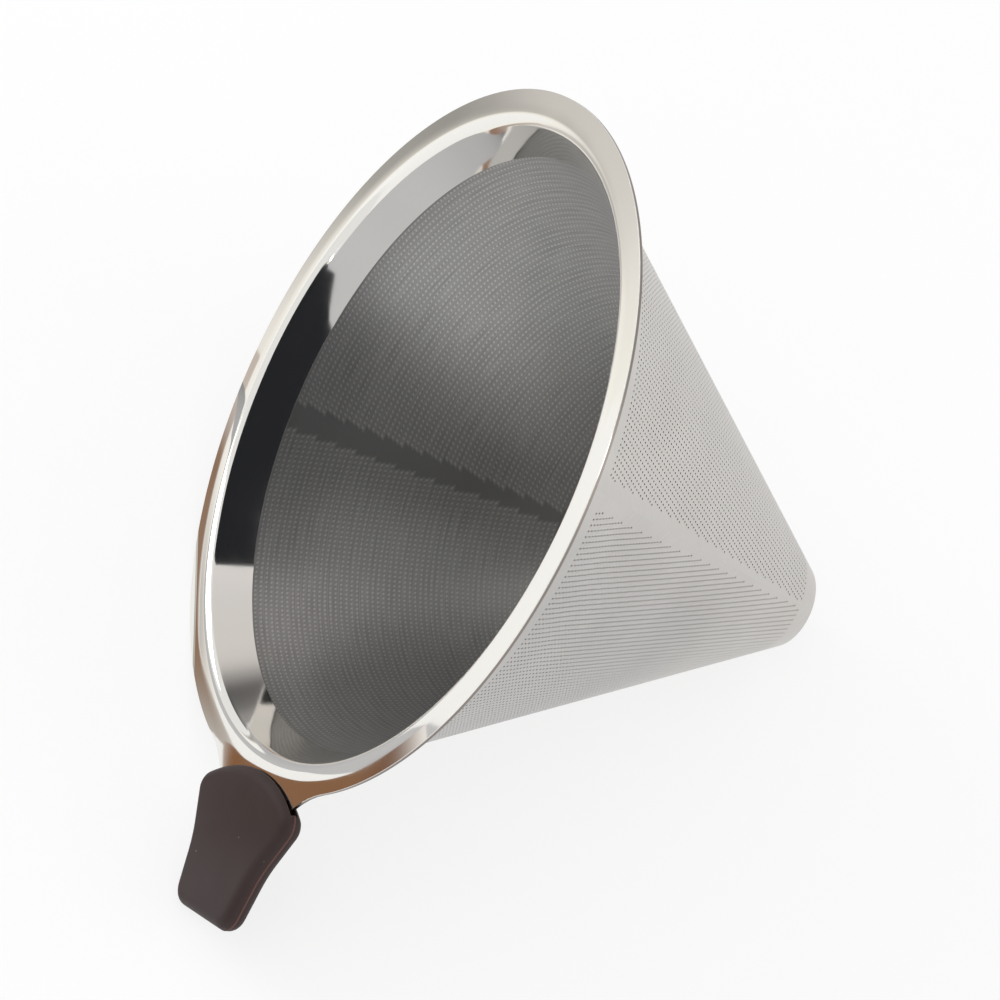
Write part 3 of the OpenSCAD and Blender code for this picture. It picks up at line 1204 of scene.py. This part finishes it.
@dataclass(frozen=True)
class MouldedSilicone:
    """Moulded silicone rubber, dark brown: matte, slightly velvety, with a few specks of dust.

    Attributes:
        colour: The rubber's lighter tone.
        tone: Its darker tone.
        dust: The specks.
        line: The mould's parting line, lighter than the rubber: partly its own mark, partly a
            painted highlight on its bead.
        roughness: How dull the rubber is.
        ior: Index of refraction of silicone rubber.
        specular: How strongly its surface shines.
        sheen: Its velvety share.
        sheen_roughness: How wide that sheen spreads.
        cloud_size: Size of the changes of tone.
        speck_spacing: Distance between two specks.
        speck_edge: Where a speck's edge begins and ends, in spacings.
        speck_share: How much a speck covers.
        line_edge: How far from the line's middle its edge begins and ends.
        line_share: How much the line covers.
        grain: Size of the surface's fine grain.
        grain_depth: Depth of that grain.
        grain_strength: How strongly it catches the light.
    """

    colour: str = "#3b2e2d"
    tone: str = "#332726"
    dust: str = "#a89a94"
    line: str = "#6a4a43"
    roughness: float = 0.6
    ior: float = 1.41
    specular: float = 0.3
    sheen: float = 0.02
    sheen_roughness: float = 0.5
    cloud_size: float = 6 * MM
    speck_spacing: float = 3.2 * MM
    speck_edge: tuple[float, float] = (0.03, 0.05)
    speck_share: float = 0.55
    line_edge: tuple[float, float] = (0.1 * MM, 0.24 * MM)
    line_share: float = 0.8
    grain: float = 0.35 * MM
    grain_depth: float = 0.05 * MM
    grain_strength: float = 0.15

    def material(self, pose: RestingPose, line_height: float) -> bpy.types.Material:
        """Build the finish.

        Args:
            pose: How the filter lies.
            line_height: Height of the mould's parting line on the filter's own axis.

        Returns:
            The material.
        """
        material, tree, output = new_material("moulded_brown_silicone")
        point = pose.own_point(tree)
        parts = add_node(tree, "ShaderNodeSeparateXYZ", {0: point})
        clouds = add_node(
            tree, "ShaderNodeTexNoise",
            {"Vector": point, "Scale": 1 / self.cloud_size, "Detail": 4.0},
        )
        base = add_node(
            tree, "ShaderNodeMix",
            {"Factor": clouds.outputs[0], 6: linear(self.tone), 7: linear(self.colour)},
            data_type="RGBA",
        )
        specks = add_node(
            tree, "ShaderNodeTexVoronoi", {"Vector": point, "Scale": 1 / self.speck_spacing}
        )
        speck = add_node(
            tree, "ShaderNodeMapRange",
            {"Value": specks.outputs["Distance"], "From Min": self.speck_edge[0],
             "From Max": self.speck_edge[1], "To Min": self.speck_share, "To Max": 0.0},
        )
        dusty = add_node(
            tree, "ShaderNodeMix",
            {"Factor": speck.outputs[0], 6: base.outputs[2], 7: linear(self.dust)},
            data_type="RGBA",
        )
        # The parting line is painted lighter: partly its own mark, partly a painted highlight on
        # the bead.
        above = add_node(
            tree, "ShaderNodeMath", {0: parts.outputs[2], 1: line_height}, operation="SUBTRACT"
        )
        off = add_node(tree, "ShaderNodeMath", {0: above.outputs[0]}, operation="ABSOLUTE")
        seam = add_node(
            tree, "ShaderNodeMapRange",
            {"Value": off.outputs[0], "From Min": self.line_edge[0], "From Max": self.line_edge[1],
             "To Min": self.line_share, "To Max": 0.0},
        )
        colour = add_node(
            tree, "ShaderNodeMix",
            {"Factor": seam.outputs[0], 6: dusty.outputs[2], 7: linear(self.line)},
            data_type="RGBA",
        )
        grain = add_node(
            tree, "ShaderNodeTexNoise", {"Vector": point, "Scale": 1 / self.grain, "Detail": 2.0}
        )
        bump = add_node(
            tree, "ShaderNodeBump",
            {"Height": grain.outputs[0], "Strength": self.grain_strength,
             "Distance": self.grain_depth},
        )
        shader = add_node(
            tree, "ShaderNodeBsdfPrincipled",
            {"Base Color": colour.outputs[2], "Roughness": self.roughness, "IOR": self.ior,
             "Specular IOR Level": self.specular, "Sheen Weight": self.sheen,
             "Sheen Roughness": self.sheen_roughness, "Normal": bump.outputs[0]},
        )
        tree.links.new(shader.outputs[0], output.inputs[0])
        return material


@dataclass
class HandleGrip:
    """Silicone sleeve on the tab, with full round edges, a parting line and an open mouth.

    Attributes:
        rim: The rim whose tab it sits on.
        finish: The grip's finish.
        overlap: How far it reaches over the flange.
        inner_radius: Radius of its edge towards the cone.
        inner_turn: Half of the angle of that edge.
        head_half: Half of its width at the widest place.
        waist_at: From its inner edge to the waist.
        waist_half: Half of its width at the waist, before the waist is rounded.
        length: From its inner edge to its end.
        end_half: Half of its width at the end.
        head_corner: Radius of the corners at the widest place.
        waist_radius: Radius of the waist.
        end_corner: Radius of the corners at the end.
        thickness: Its thickness.
        edge: Radius of its round edges.
        bead: Width of the bead that the mould's joint left.
        bead_rise: How far that bead stands out.
        mouth_height: Height of the open mouth.
        mouth_depth: Depth of the mouth.
        mouth_wall: Rubber left at each side of the mouth.
        mouth_reach: How far the mouth's cutter stands out of the grip.
        slot_reach: How far the slot's cutter stands out of the grip.
        clearance: Gap between the slot and the tab.
        arc_steps: Steps along each corner.
        smooth_below: Edges flatter than this are shaded smooth.
    """

    rim: PressedRim
    finish: MouldedSilicone = field(default_factory=MouldedSilicone)
    overlap: float = 2.5 * MM
    inner_radius: float = 31.2 * MM
    inner_turn: float = math.radians(28.3)
    head_half: float = 17.65 * MM
    waist_at: float = 15.3 * MM
    waist_half: float = 12.2 * MM
    length: float = 26.1 * MM
    end_half: float = 9.95 * MM
    head_corner: float = 3 * MM
    waist_radius: float = 17.7 * MM
    end_corner: float = 3.6 * MM
    thickness: float = 4.2 * MM
    edge: float = 1.9 * MM
    bead: float = 0.16 * MM
    bead_rise: float = 0.07 * MM
    mouth_height: float = 1.4 * MM
    mouth_depth: float = 5 * MM
    mouth_wall: float = 2.4 * MM
    mouth_reach: float = 3 * MM
    slot_reach: float = 1 * MM
    clearance: float = 0.1 * MM
    arc_steps: int = 10
    smooth_below: float = math.radians(35)

    @property
    def start(self) -> float:
        """Distance from the axis to the middle of the inner edge."""
        return self.rim.shape.rim_radius - self.overlap

    @property
    def height(self) -> float:
        """Height of the parting line, at the middle of the tab's sheet."""
        return -self.rim.shape.rim_sheet / 2

    def outline(self) -> np.ndarray:
        """Give the outline seen from above, as arcs at its corners.

        Returns:
            Points of x and y, anticlockwise.
        """
        inner_x = self.start + self.inner_radius * (1 - 1 / math.cos(self.inner_turn))
        side = [
            (inner_x + self.head_half * math.tan(self.inner_turn), self.head_half,
             self.head_corner),
            (self.start + self.waist_at, self.waist_half, self.waist_radius),
            (self.start + self.length, self.end_half, self.end_corner),
        ]
        mirrored = [(x, -y, r) for x, y, r in reversed(side)]
        corners = [(inner_x, 0.0, self.inner_radius)] + side + mirrored
        points = []
        for k, (x, y, radius) in enumerate(corners):
            here = Vector((x, y))
            before = (Vector(corners[k - 1][:2]) - here).normalized()
            after = (Vector(corners[(k + 1) % len(corners)][:2]) - here).normalized()
            half = before.angle(after) / 2
            centre = here + (before + after).normalized() * radius / math.sin(half)
            first = here + before * radius / math.tan(half) - centre
            last = here + after * radius / math.tan(half) - centre
            begin = math.atan2(first.y, first.x)
            turn = (math.atan2(last.y, last.x) - begin + 3 * math.pi) % (2 * math.pi) - math.pi
            steps = self.arc_steps * (2 if k == 0 else 1)
            points += [
                (centre.x + radius * math.cos(begin + turn * t),
                 centre.y + radius * math.sin(begin + turn * t))
                for t in np.linspace(0, 1, steps + 1)
            ]
        points = np.array(points)
        x, y = points.T
        area = np.sum(x * np.roll(y, -1) - y * np.roll(x, -1))
        return points if area > 0 else points[::-1]

    def body(self) -> bpy.types.Object:
        """Draw the sleeve with its parting bead and round its edges.

        Returns:
            The sleeve, still closed.
        """
        line = self.outline()
        bpy.ops.mesh.primitive_circle_add(vertices=len(line), radius=10 * MM, fill_type="NGON")
        body = bpy.context.object
        points = points_of(body)
        order = np.argsort(np.arctan2(points[:, 1], points[:, 0]) % (2 * math.pi))
        low = self.height - self.thickness / 2
        points[order] = np.column_stack([line, np.full(len(line), low)])
        place_points(body, points)
        levels = [self.height + rise / 2 for rise in (-self.bead, self.bead, self.thickness)]
        bpy.ops.object.mode_set(mode="EDIT")
        bpy.ops.mesh.select_mode(type="FACE")
        bpy.ops.mesh.select_all(action="SELECT")
        for level in levels:
            bpy.ops.mesh.extrude_region_move(TRANSFORM_OT_translate={"value": (0, 0, level - low)})
            low = level
        bpy.ops.mesh.select_all(action="SELECT")
        bpy.ops.mesh.normals_make_consistent(inside=False)
        bpy.ops.mesh.select_all(action="DESELECT")
        mesh = bmesh.from_edit_mesh(body.data)
        for face in mesh.faces:
            flat = abs(face.normal.z) < 0.5
            face.select_set(flat and abs(face.calc_center_median().z - self.height) < self.bead / 2)
        bmesh.update_edit_mesh(body.data)
        bpy.ops.mesh.extrude_region_shrink_fatten(
            TRANSFORM_OT_shrink_fatten={"value": self.bead_rise}
        )
        bpy.ops.mesh.select_mode(type="EDGE")
        bpy.ops.mesh.select_all(action="DESELECT")
        mesh = bmesh.from_edit_mesh(body.data)
        for edge in mesh.edges:
            rises = [abs(v.co.z - self.height) for v in edge.verts]
            edge.select_set(all(abs(rise - self.thickness / 2) < SAME_PLACE for rise in rises))
        bmesh.update_edit_mesh(body.data)
        bpy.ops.mesh.bevel(
            offset=self.edge, offset_type="OFFSET", segments=7, affect="EDGES", clamp_overlap=False
        )
        bpy.ops.object.mode_set(mode="OBJECT")
        return body

    def cut(self, body: bpy.types.Object) -> None:
        """Cut the open mouth and the slot for the tab.

        Args:
            body: The sleeve.
        """
        line = self.rim.tab_line(self.clearance)
        line = line[line[:, 0] > self.start - self.slot_reach]
        bpy.ops.mesh.primitive_circle_add(vertices=len(line), radius=1 * MM, fill_type="NGON")
        slot = bpy.context.object
        points = points_of(slot)
        order = np.argsort(np.arctan2(points[:, 1], points[:, 0]) % (2 * math.pi))
        deep = self.rim.shape.rim_sheet + 2 * self.clearance
        points[order] = np.column_stack([line[::-1], np.full(len(line), self.height - deep / 2)])
        place_points(slot, points)
        bpy.ops.object.mode_set(mode="EDIT")
        bpy.ops.mesh.select_all(action="SELECT")
        bpy.ops.mesh.extrude_region_move(TRANSFORM_OT_translate={"value": (0, 0, deep)})
        bpy.ops.mesh.select_all(action="SELECT")
        bpy.ops.mesh.normals_make_consistent(inside=False)
        bpy.ops.object.mode_set(mode="OBJECT")
        bpy.ops.mesh.primitive_cube_add(size=1)
        mouth = bpy.context.object
        reach = self.mouth_depth + self.mouth_reach
        mouth.dimensions = (reach, 2 * (self.head_half - self.mouth_wall), self.mouth_height)
        mouth.location = (self.start + self.mouth_depth - reach / 2, 0, self.height)
        bpy.ops.object.transform_apply(location=True, rotation=True, scale=True)
        for cutter in (mouth, slot):
            apply_modifier(body, "BOOLEAN", object=cutter, operation="DIFFERENCE", solver="EXACT")
            bpy.data.objects.remove(cutter)

    def build(self, pose: RestingPose) -> None:
        """Make the grip and lay it down.

        Args:
            pose: How the filter lies.
        """
        body = self.body()
        self.cut(body)
        select_only(body)
        bpy.ops.object.shade_smooth_by_angle(angle=self.smooth_below)
        finish_piece(
            body,
            "silicone_grip",
            self.finish.material(pose, self.height),
            pose,
            Part.GRIP,
        )


@dataclass(frozen=True)
class BrushedSteel:
    """Stamped stainless sheet, brushed: duller than the rim, with straight fine lines.

    Attributes:
        colour: The light tone.
        shade: The dark tone.
        roughness: Roughness of the sheet.
        line_spacing: Distance between the brush lines.
        line_length: Length of the brush lines.
        line_depth: Depth of the brush lines.
        line_strength: Strength of their bump.
    """

    colour: str = "#c4c1bc"
    shade: str = "#a9a6a1"
    roughness: float = 0.34
    line_spacing: float = 0.25 * MM
    line_length: float = 12 * MM
    line_depth: float = 0.03 * MM
    line_strength: float = 0.1

    def material(self, pose: RestingPose) -> bpy.types.Material:
        """Build the finish.

        Args:
            pose: How the filter lies.

        Returns:
            The material.
        """
        material, tree, output = new_material("brushed_stainless_sheet")
        point = pose.own_point(tree)
        lines = add_node(
            tree, "ShaderNodeMapping",
            {"Vector": point,
             "Scale": (1 / self.line_spacing, 1 / self.line_length, 1 / self.line_length)},
        )
        grain = add_node(
            tree, "ShaderNodeTexNoise", {"Vector": lines.outputs[0], "Scale": 1.0, "Detail": 3.0}
        )
        colour = add_node(
            tree, "ShaderNodeMix",
            {"Factor": grain.outputs[0], 6: linear(self.shade), 7: linear(self.colour)},
            data_type="RGBA",
        )
        bump = add_node(
            tree, "ShaderNodeBump",
            {"Height": grain.outputs[0], "Strength": self.line_strength,
             "Distance": self.line_depth},
        )
        shader = add_node(
            tree, "ShaderNodeBsdfPrincipled",
            {"Base Color": colour.outputs[2], "Metallic": 1.0, "Roughness": self.roughness,
             "Normal": bump.outputs[0]},
        )
        tree.links.new(shader.outputs[0], output.inputs[0])
        return material


@dataclass
class EndPlate:
    """The plate that closes the small end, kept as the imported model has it.

    Attributes:
        finish: The plate's finish.
    """

    finish: BrushedSteel = field(default_factory=BrushedSteel)

    def dress(self, frame: dict, pose: RestingPose) -> None:
        """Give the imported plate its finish.

        Args:
            frame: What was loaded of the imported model.
            pose: How the filter lies.
        """
        plate = frame["nodes"][Part.PLATE.value]
        plate.data.materials.clear()
        plate.data.materials.append(self.finish.material(pose))
        log.info("%s keeps its packed shape", Part.PLATE.value)


@dataclass(frozen=True)
class Card:
    """A card that only the metal's reflections see.

    Attributes:
        name: The card's name.
        rows: Rows of points, in millimetres.
        tones: A tone for each point of a row, or for what is left of the row.
        steps: How many rows are drawn for each one given.
    """

    name: str
    rows: tuple[tuple[Place, ...], ...]
    tones: tuple[tuple[str, ...], ...]
    steps: int = 6

    def drawn_out(self, rows: np.ndarray) -> np.ndarray:
        """Draw smooth curves through the rows, so that no crease shows in a reflection.

        Args:
            rows: What each point of each row is, rows first.

        Returns:
            Rows along the curves, several for each one given.
        """
        first, last = 2 * rows[:1] - rows[1:2], 2 * rows[-1:] - rows[-2:-1]
        padded = np.concatenate([first, rows, last])
        before, start, end, after = (padded[k:len(rows) - 1 + k] for k in range(4))
        drawn = []
        for step in np.linspace(0, 1, self.steps, endpoint=False):
            bend = (end - before) * step + (2 * before - 5 * start + 4 * end - after) * step**2
            drawn.append(start + (bend + (3 * start - before - 3 * end + after) * step**3) / 2)
        smooth = np.stack(drawn, 1).reshape(-1, *rows.shape[1:])
        return np.concatenate([smooth, rows[-1:]])

    def build(self) -> None:
        """Stand the card, its tones blending from point to point."""
        across = len(self.rows[0])
        tones = [[linear(row[min(k, len(row) - 1)]) for k in range(across)] for row in self.tones]
        places = self.drawn_out(np.array(self.rows) * MM)
        shades = self.drawn_out(np.array(tones)).clip(0, 1)
        bpy.ops.mesh.primitive_grid_add(
            x_subdivisions=across - 1, y_subdivisions=len(places) - 1, size=2
        )
        card = bpy.context.object
        card.name = self.name
        order = np.lexsort((points_of(card)[:, 0], points_of(card)[:, 1]))
        points = np.empty((len(order), 3))
        points[order] = places.reshape(-1, 3)
        place_points(card, points)
        colours = np.empty((len(order), 4))
        colours[order] = shades.reshape(-1, 4)
        tone = card.data.color_attributes.new("tone", "FLOAT_COLOR", "POINT")
        tone.data.foreach_set("color", colours.ravel())
        material, tree, output = new_material(self.name)
        painted = add_node(tree, "ShaderNodeAttribute", attribute_name="tone")
        glow = add_node(tree, "ShaderNodeEmission", {"Color": painted.outputs[0]})
        tree.links.new(glow.outputs[0], output.inputs[0])
        card.data.materials.append(material)
        card.visible_camera = card.visible_diffuse = card.visible_shadow = False


@dataclass(frozen=True)
class SoftLamp:
    """A square soft lamp aimed at a place on the filter, in metres and watts.

    Attributes:
        name: The lamp's name.
        place: Where the lamp stands.
        size: Length of its side.
        energy: Its power.
        aim: The place that it faces.
        spread: Angle that its light fills.
    """

    name: str
    place: Place
    size: float
    energy: float
    aim: Place = (0.0, 0.0, 0.05)
    spread: float = math.pi

    def build(self) -> None:
        """Stand the lamp."""
        data = bpy.data.lights.new(self.name, "AREA")
        data.size = self.size
        data.energy = self.energy
        data.spread = self.spread
        lamp = bpy.data.objects.new(self.name, data)
        bpy.context.scene.collection.objects.link(lamp)
        lamp.location = self.place
        lamp.rotation_euler = (Vector(self.aim) - lamp.location).to_track_quat("-Z", "Y").to_euler()


DOME_RADIUS = 750
BESIDE_START = (-87.0, -86.0)
BESIDE_TURN = (0.7, 0.714)
BESIDE_HEIGHT = 1.5
WARM_TINT = (1.03, 1.0, 0.95)


def warm_greys(*levels: float) -> tuple[str, ...]:
    """Turn levels of brightness, from 0 to 1 as a shader reads them, into warm greys.

    Args:
        *levels: The levels.

    Returns:
        An sRGB hex colour for each level.
    """
    tints = [[min(1.0, level * part) for part in WARM_TINT] for level in levels]
    return tuple(
        "#" + "".join("%02x" % round(255 * (1.055 * part ** (1 / 2.4) - 0.055)) for part in tint)
        for tint in tints
    )


def far(*directions: Place) -> tuple[Place, ...]:
    """Turn directions from the filter into places on a wide dome, in millimetres."""
    return tuple(tuple(DOME_RADIUS * part for part in direction) for direction in directions)


def beside(along: float, *across: float) -> tuple[Place, ...]:
    """Give places just above the floor beside the flange, in millimetres.

    Args:
        along: Distance along a line that leads away from the flange.
        *across: Distances to the side of that line.

    Returns:
        The places.
    """
    (x, y), (cosine, sine) = BESIDE_START, BESIDE_TURN
    return tuple(
        (x - cosine * along - sine * side, y - sine * along + cosine * side, BESIDE_HEIGHT)
        for side in across
    )


CARDS = (
    Card("dark_ceiling",
         (far((0.86, -0.53, 0.36), (0.25, -0.95, 0.36)),
          far((0.84, -0.43, 0.45), (0.24, -0.90, 0.42)),
          far((0.81, -0.33, 0.53), (0.22, -0.85, 0.50)),
          far((0.78, -0.22, 0.59), (0.18, -0.78, 0.60)),
          far((0.70, -0.05, 0.70), (0.12, -0.70, 0.71)),
          far((0.47, 0.10, 0.88), (0.05, -0.66, 0.77)),
          far((0.20, 0.20, 0.96), (-0.05, -0.60, 0.82)),
          far((0.15, 0.085, 0.985), (-0.1, -0.58, 0.82)),
          far((-0.05, 0.085, 0.995), (-0.2, -0.52, 0.84)),
          far((-0.20, 0.09, 0.975), (-0.3, -0.48, 0.84)),
          far((-0.41, 0.11, 0.91), (-0.42, -0.46, 0.81))),
         (("#26272a",),) * 11),
    Card("grey_wall",
         (far((1.2, -0.10, 0.0), (0.90, -0.85, 0.0)), far((1.2, -0.05, 0.25), (0.90, -0.85, 0.25)),
          far((1.1, 0.05, 0.50), (0.85, -0.80, 0.50)), far((1.0, 0.15, 0.75), (0.8, -0.7, 0.75))),
         (("#c8c8ca",),) * 4),
    Card("dark_window_frame",
         (far((-0.43, 0.30, 0.90), (-0.43, 0.04, 0.92), (-0.43, -0.45, 0.80)),
          far((-0.60, 0.28, 0.78), (-0.60, 0.04, 0.80), (-0.58, -0.40, 0.72)),
          far((-0.82, 0.25, 0.52), (-0.84, 0.02, 0.52), (-0.82, -0.30, 0.52)),
          far((-0.90, 0.25, 0.40), (-0.92, 0.02, 0.40), (-0.90, -0.30, 0.40)),
          far((-0.93, 0.25, 0.30), (-0.95, 0.0, 0.30), (-0.93, -0.30, 0.30)),
          far((-0.96, 0.25, 0.16), (-0.98, -0.01, 0.16), (-0.96, -0.30, 0.16)),
          far((-0.97, 0.25, 0.06), (-1.0, -0.01, 0.06), (-0.97, -0.30, 0.06)),
          far((-0.97, 0.25, -0.04), (-1.0, -0.01, -0.04), (-0.97, -0.30, -0.04))),
         (("#e2dedd",), ("#d9d6d5",), ("#d4d0cd",), ("#b8b5b3", "#a5a2a1", "#8f8d8c"),
          ("#9a9897", "#6e6c6c", "#5c5b5b"),
          ("#a5a3a2", "#7b7979", "#666565"), ("#b6b4b3", "#a09e9d", "#7b7979"),
          ("#b6b4b3", "#a09e9d", "#7b7979"))),
    Card("brown_board",
         (((19, -65, 3), (25, -69, 1)), ((22, -63, 6), (31, -68, 1.5)),
          ((27, -61, 10), (38, -67, 2)),
          ((37, -55, 22), (50, -59, 15)), ((43, -47, 35), (57, -50, 31)),
          ((43.9, -40.5, 45), (59.7, -41.6, 44.6)),
          ((43.3, -36, 52), (58.4, -37, 53))),
         (("#b8aca3",), ("#8a664c",), ("#8a664c",), ("#8a664c",), ("#8a664c",), ("#8b7468",),
          ("#f4f1ee",))),
    Card("brown_table_edge",
         (((-80, -74, 2), (-80, -81.8, 2), (-80.3, -83.0, 2)),
          ((-66, -60, 2), (-66, -74.2, 2), (-66.3, -75.4, 2)),
          ((-52, -38, 2), (-52, -67.4, 2), (-52.3, -68.6, 2)),
          ((-43.4, -38, 2), (-43.4, -63.6, 2), (-43.7, -64.8, 2)),
          ((-27.2, -38, 2), (-27.2, -58.3, 2), (-27.5, -59.5, 2)),
          ((-13.4, -38, 2), (-13.4, -55.4, 2), (-13.7, -56.6, 2)),
          ((-2.2, -38, 2), (-2.2, -54.9, 2), (-2.5, -56.1, 2)),
          ((6, -38, 2), (6, -56.3, 2), (5.7, -57.5, 2)),
          ((12.3, -38, 2), (12.3, -60, 2), (12, -68, 2)),
          ((18.5, -38, 2), (18.5, -66, 2), (18, -74, 2))),
         (("#c9bdb5", "#c9bdb5", "#ffffff"),) * 2 + (("#a8978c", "#b5a79e", "#ffffff"),)
         + (("#957a67", "#957a67", "#f4f2f0"),) * 5
         + (("#8a7668", "#a09084", "#c9c4bf"), ("#b9b2ac", "#bab4ae", "#c9c4bf"))),
    Card("grey_screen",
         (((-48, -43, 12), (-50, -49, 12)), ((-41, -46, 12), (-44, -53, 12.5)),
          ((-32, -51, 9.5), (-36, -67, 11)), ((-22, -57, 5.5), (-27, -80, 8)),
          ((-6, -62, 2.4), (-16, -87, 10)), ((14, -64, 6), (-1, -92, 23)),
          ((30, -61, 21), (11, -93, 38)), ((38, -57, 36), (17, -92, 52))),
         (("#727273",), ("#a9a9ab",), ("#b6b6b8",), ("#b9b9bb",),
          ("#bfbfc1",), ("#c5c5c7",), ("#c5c5c7",), ("#c8c8ca",))),
    Card("grey_table",
         (((24, -30, 1), (20, 60, 1), (16, 150, 1)), ((60, -30, 1), (60, 60, 1), (60, 150, 1)),
          ((150, -30, 1), (150, 60, 1), (150, 150, 1))),
         (("#dcdddf",), ("#e8e9eb",), ("#fafafb",))),
    Card("grey_floor",
         (beside(-92, -60, -50, -46, -38, -30, 40),
          beside(-45, -40, -25, -20, -15, -5, 60),
          beside(-20, -20, -11, -9, -7, 0, 60),
          beside(5, -14, -5, -1, 4, 12, 70),
          beside(65, -8, 2, 8, 14, 22, 100),
          beside(140, -20, -2, 8, 17, 28, 120),
          beside(220, -50, -15, 5, 22, 35, 140),
          beside(300, -62, -30, 0, 20, 36, 150),
          beside(375, -62, -31, -5, 18, 30, 160),
          beside(460, -62, -31, -5, 18, 30, 160),
          beside(620, -62, -31, -5, 18, 30, 160)),
         (warm_greys(0.90, 0.50, 0.36, 0.34, 0.34, 0.34),
          warm_greys(1.00, 0.95, 0.92, 0.88, 0.62, 0.46),
          warm_greys(1.00, 0.96, 0.94, 0.90, 0.68, 0.46),
          warm_greys(1.00, 0.95, 0.92, 0.84, 0.58, 0.42),
          warm_greys(1.00, 0.95, 0.84, 0.68, 0.46, 0.40),
          warm_greys(1.00, 0.92, 0.74, 0.54, 0.37, 0.36),
          warm_greys(1.00, 0.92, 0.63, 0.39, 0.345, 0.37),
          warm_greys(1.00, 0.88, 0.70, 0.60, 0.58, 0.52),
          warm_greys(1.00, 0.85, 0.70, 0.65, 0.64, 0.62),
          warm_greys(1.00, 0.88, 0.74, 0.67, 0.66, 0.63),
          warm_greys(1.00, 1.00, 1.00, 1.00, 0.98, 0.92))),
)
LAMPS = (
    SoftLamp("left_softbox", (-0.55, -0.75, 0.45), 0.5, 3.0),
    SoftLamp("right_softbox", (0.5, 0.7, 0.7), 0.6, 2.0),
    SoftLamp(
        "narrow_fill", (0.45, -0.55, 0.28), 0.05, 0.018, (-0.041, 0.017, 0.061), math.radians(4)
    ),
)


@dataclass
class Studio:
    """Plain white floor, soft light from all round, and the photograph's camera.

    Attributes:
        place: Where the camera stands.
        right: The camera's own axis to the right.
        up: The camera's own axis upwards.
        back: The camera's own axis backwards.
        lens: Focal length in millimetres.
        sensor: Width of the sensor in millimetres.
        floor_size: Side of the square floor.
        sky: Strength of the light from all round.
        floor_white: The floor's colour.
        floor_glow: Share of the floor that shows plain white, the rest taking the shadow.
    """

    place: Place = (0.30204, -0.05751, 0.45634)
    right: Place = (0.03411, 0.99405, 0.10346)
    up: Place = (-0.80976, -0.03321, 0.58583)
    back: Place = (0.58571, -0.10370, 0.80385)
    lens: float = 109.6
    sensor: float = 36.0
    floor_size: float = 6.0
    sky: float = 0.86
    floor_white: str = "#f4f4f4"
    floor_glow: float = 0.75

    def camera(self) -> None:
        """Stand the camera where the photograph was taken from."""
        data = bpy.data.cameras.new("photo_camera")
        data.lens = self.lens
        data.sensor_width = self.sensor
        data.clip_start = 0.01
        camera = bpy.data.objects.new("photo_camera", data)
        bpy.context.scene.collection.objects.link(camera)
        axes = Matrix((self.right, self.up, self.back)).transposed()
        camera.matrix_world = Matrix.Translation(self.place) @ axes.to_4x4()
        bpy.context.scene.camera = camera

    def floor(self) -> None:
        """Lay the floor, bright enough to read as white and still take the shadow."""
        bpy.ops.mesh.primitive_plane_add(size=self.floor_size)
        floor = bpy.context.object
        floor.name = "studio_floor"
        material, tree, output = new_material("white_floor")
        shader = add_node(
            tree, "ShaderNodeBsdfPrincipled",
            {"Base Color": linear(self.floor_white), "Roughness": 0.9, "Specular IOR Level": 0.0},
        )
        glow = add_node(tree, "ShaderNodeEmission", {"Color": (1, 1, 1, 1), "Strength": 1.0})
        both = add_node(
            tree, "ShaderNodeMixShader",
            {0: self.floor_glow, 1: shader.outputs[0], 2: glow.outputs[0]},
        )
        tree.links.new(both.outputs[0], output.inputs[0])
        floor.data.materials.append(material)

    def light(self) -> None:
        """Light the scene from all round, with the background white where it is seen."""
        world = bpy.data.worlds.new("studio")
        bpy.context.scene.world = world
        world.use_nodes = True
        tree = world.node_tree
        tree.nodes.clear()
        path = add_node(tree, "ShaderNodeLightPath")
        seen = add_node(
            tree, "ShaderNodeMath",
            {0: path.outputs["Is Camera Ray"], 1: path.outputs["Is Transmission Ray"]},
            operation="MAXIMUM",
        )
        strength = add_node(
            tree, "ShaderNodeMapRange",
            {"Value": seen.outputs[0], "To Min": self.sky, "To Max": 1.0},
        )
        sky = add_node(
            tree, "ShaderNodeBackground", {"Color": (1, 1, 1, 1), "Strength": strength.outputs[0]}
        )
        output = add_node(tree, "ShaderNodeOutputWorld")
        tree.links.new(sky.outputs[0], output.inputs[0])
        for item in CARDS + LAMPS:
            item.build()

    def build(self) -> None:
        """Set up the camera, the floor and the light."""
        self.camera()
        self.floor()
        self.light()


def corners(box: tuple[Vector, Vector]) -> list[list[float]]:
    """Turn a box's two corners into plain lists."""
    return [list(corner) for corner in box]


def main() -> None:
    """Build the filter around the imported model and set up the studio."""
    logging.basicConfig(level=logging.INFO, format="%(message)s")
    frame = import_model()
    bpy.context.scene.view_settings.view_transform = "Standard"
    pose = RestingPose()
    shape = ConeShape()
    holes = HoleField()
    rim = PressedRim(shape)
    PerforatedCone(shape, holes).build(pose)
    WovenLining(shape, holes).build(pose)
    rim.build(pose)
    EndPlate().dress(frame, pose)
    HandleGrip(rim).build(pose)
    Studio().build()


if __name__ == "__main__":
    main()
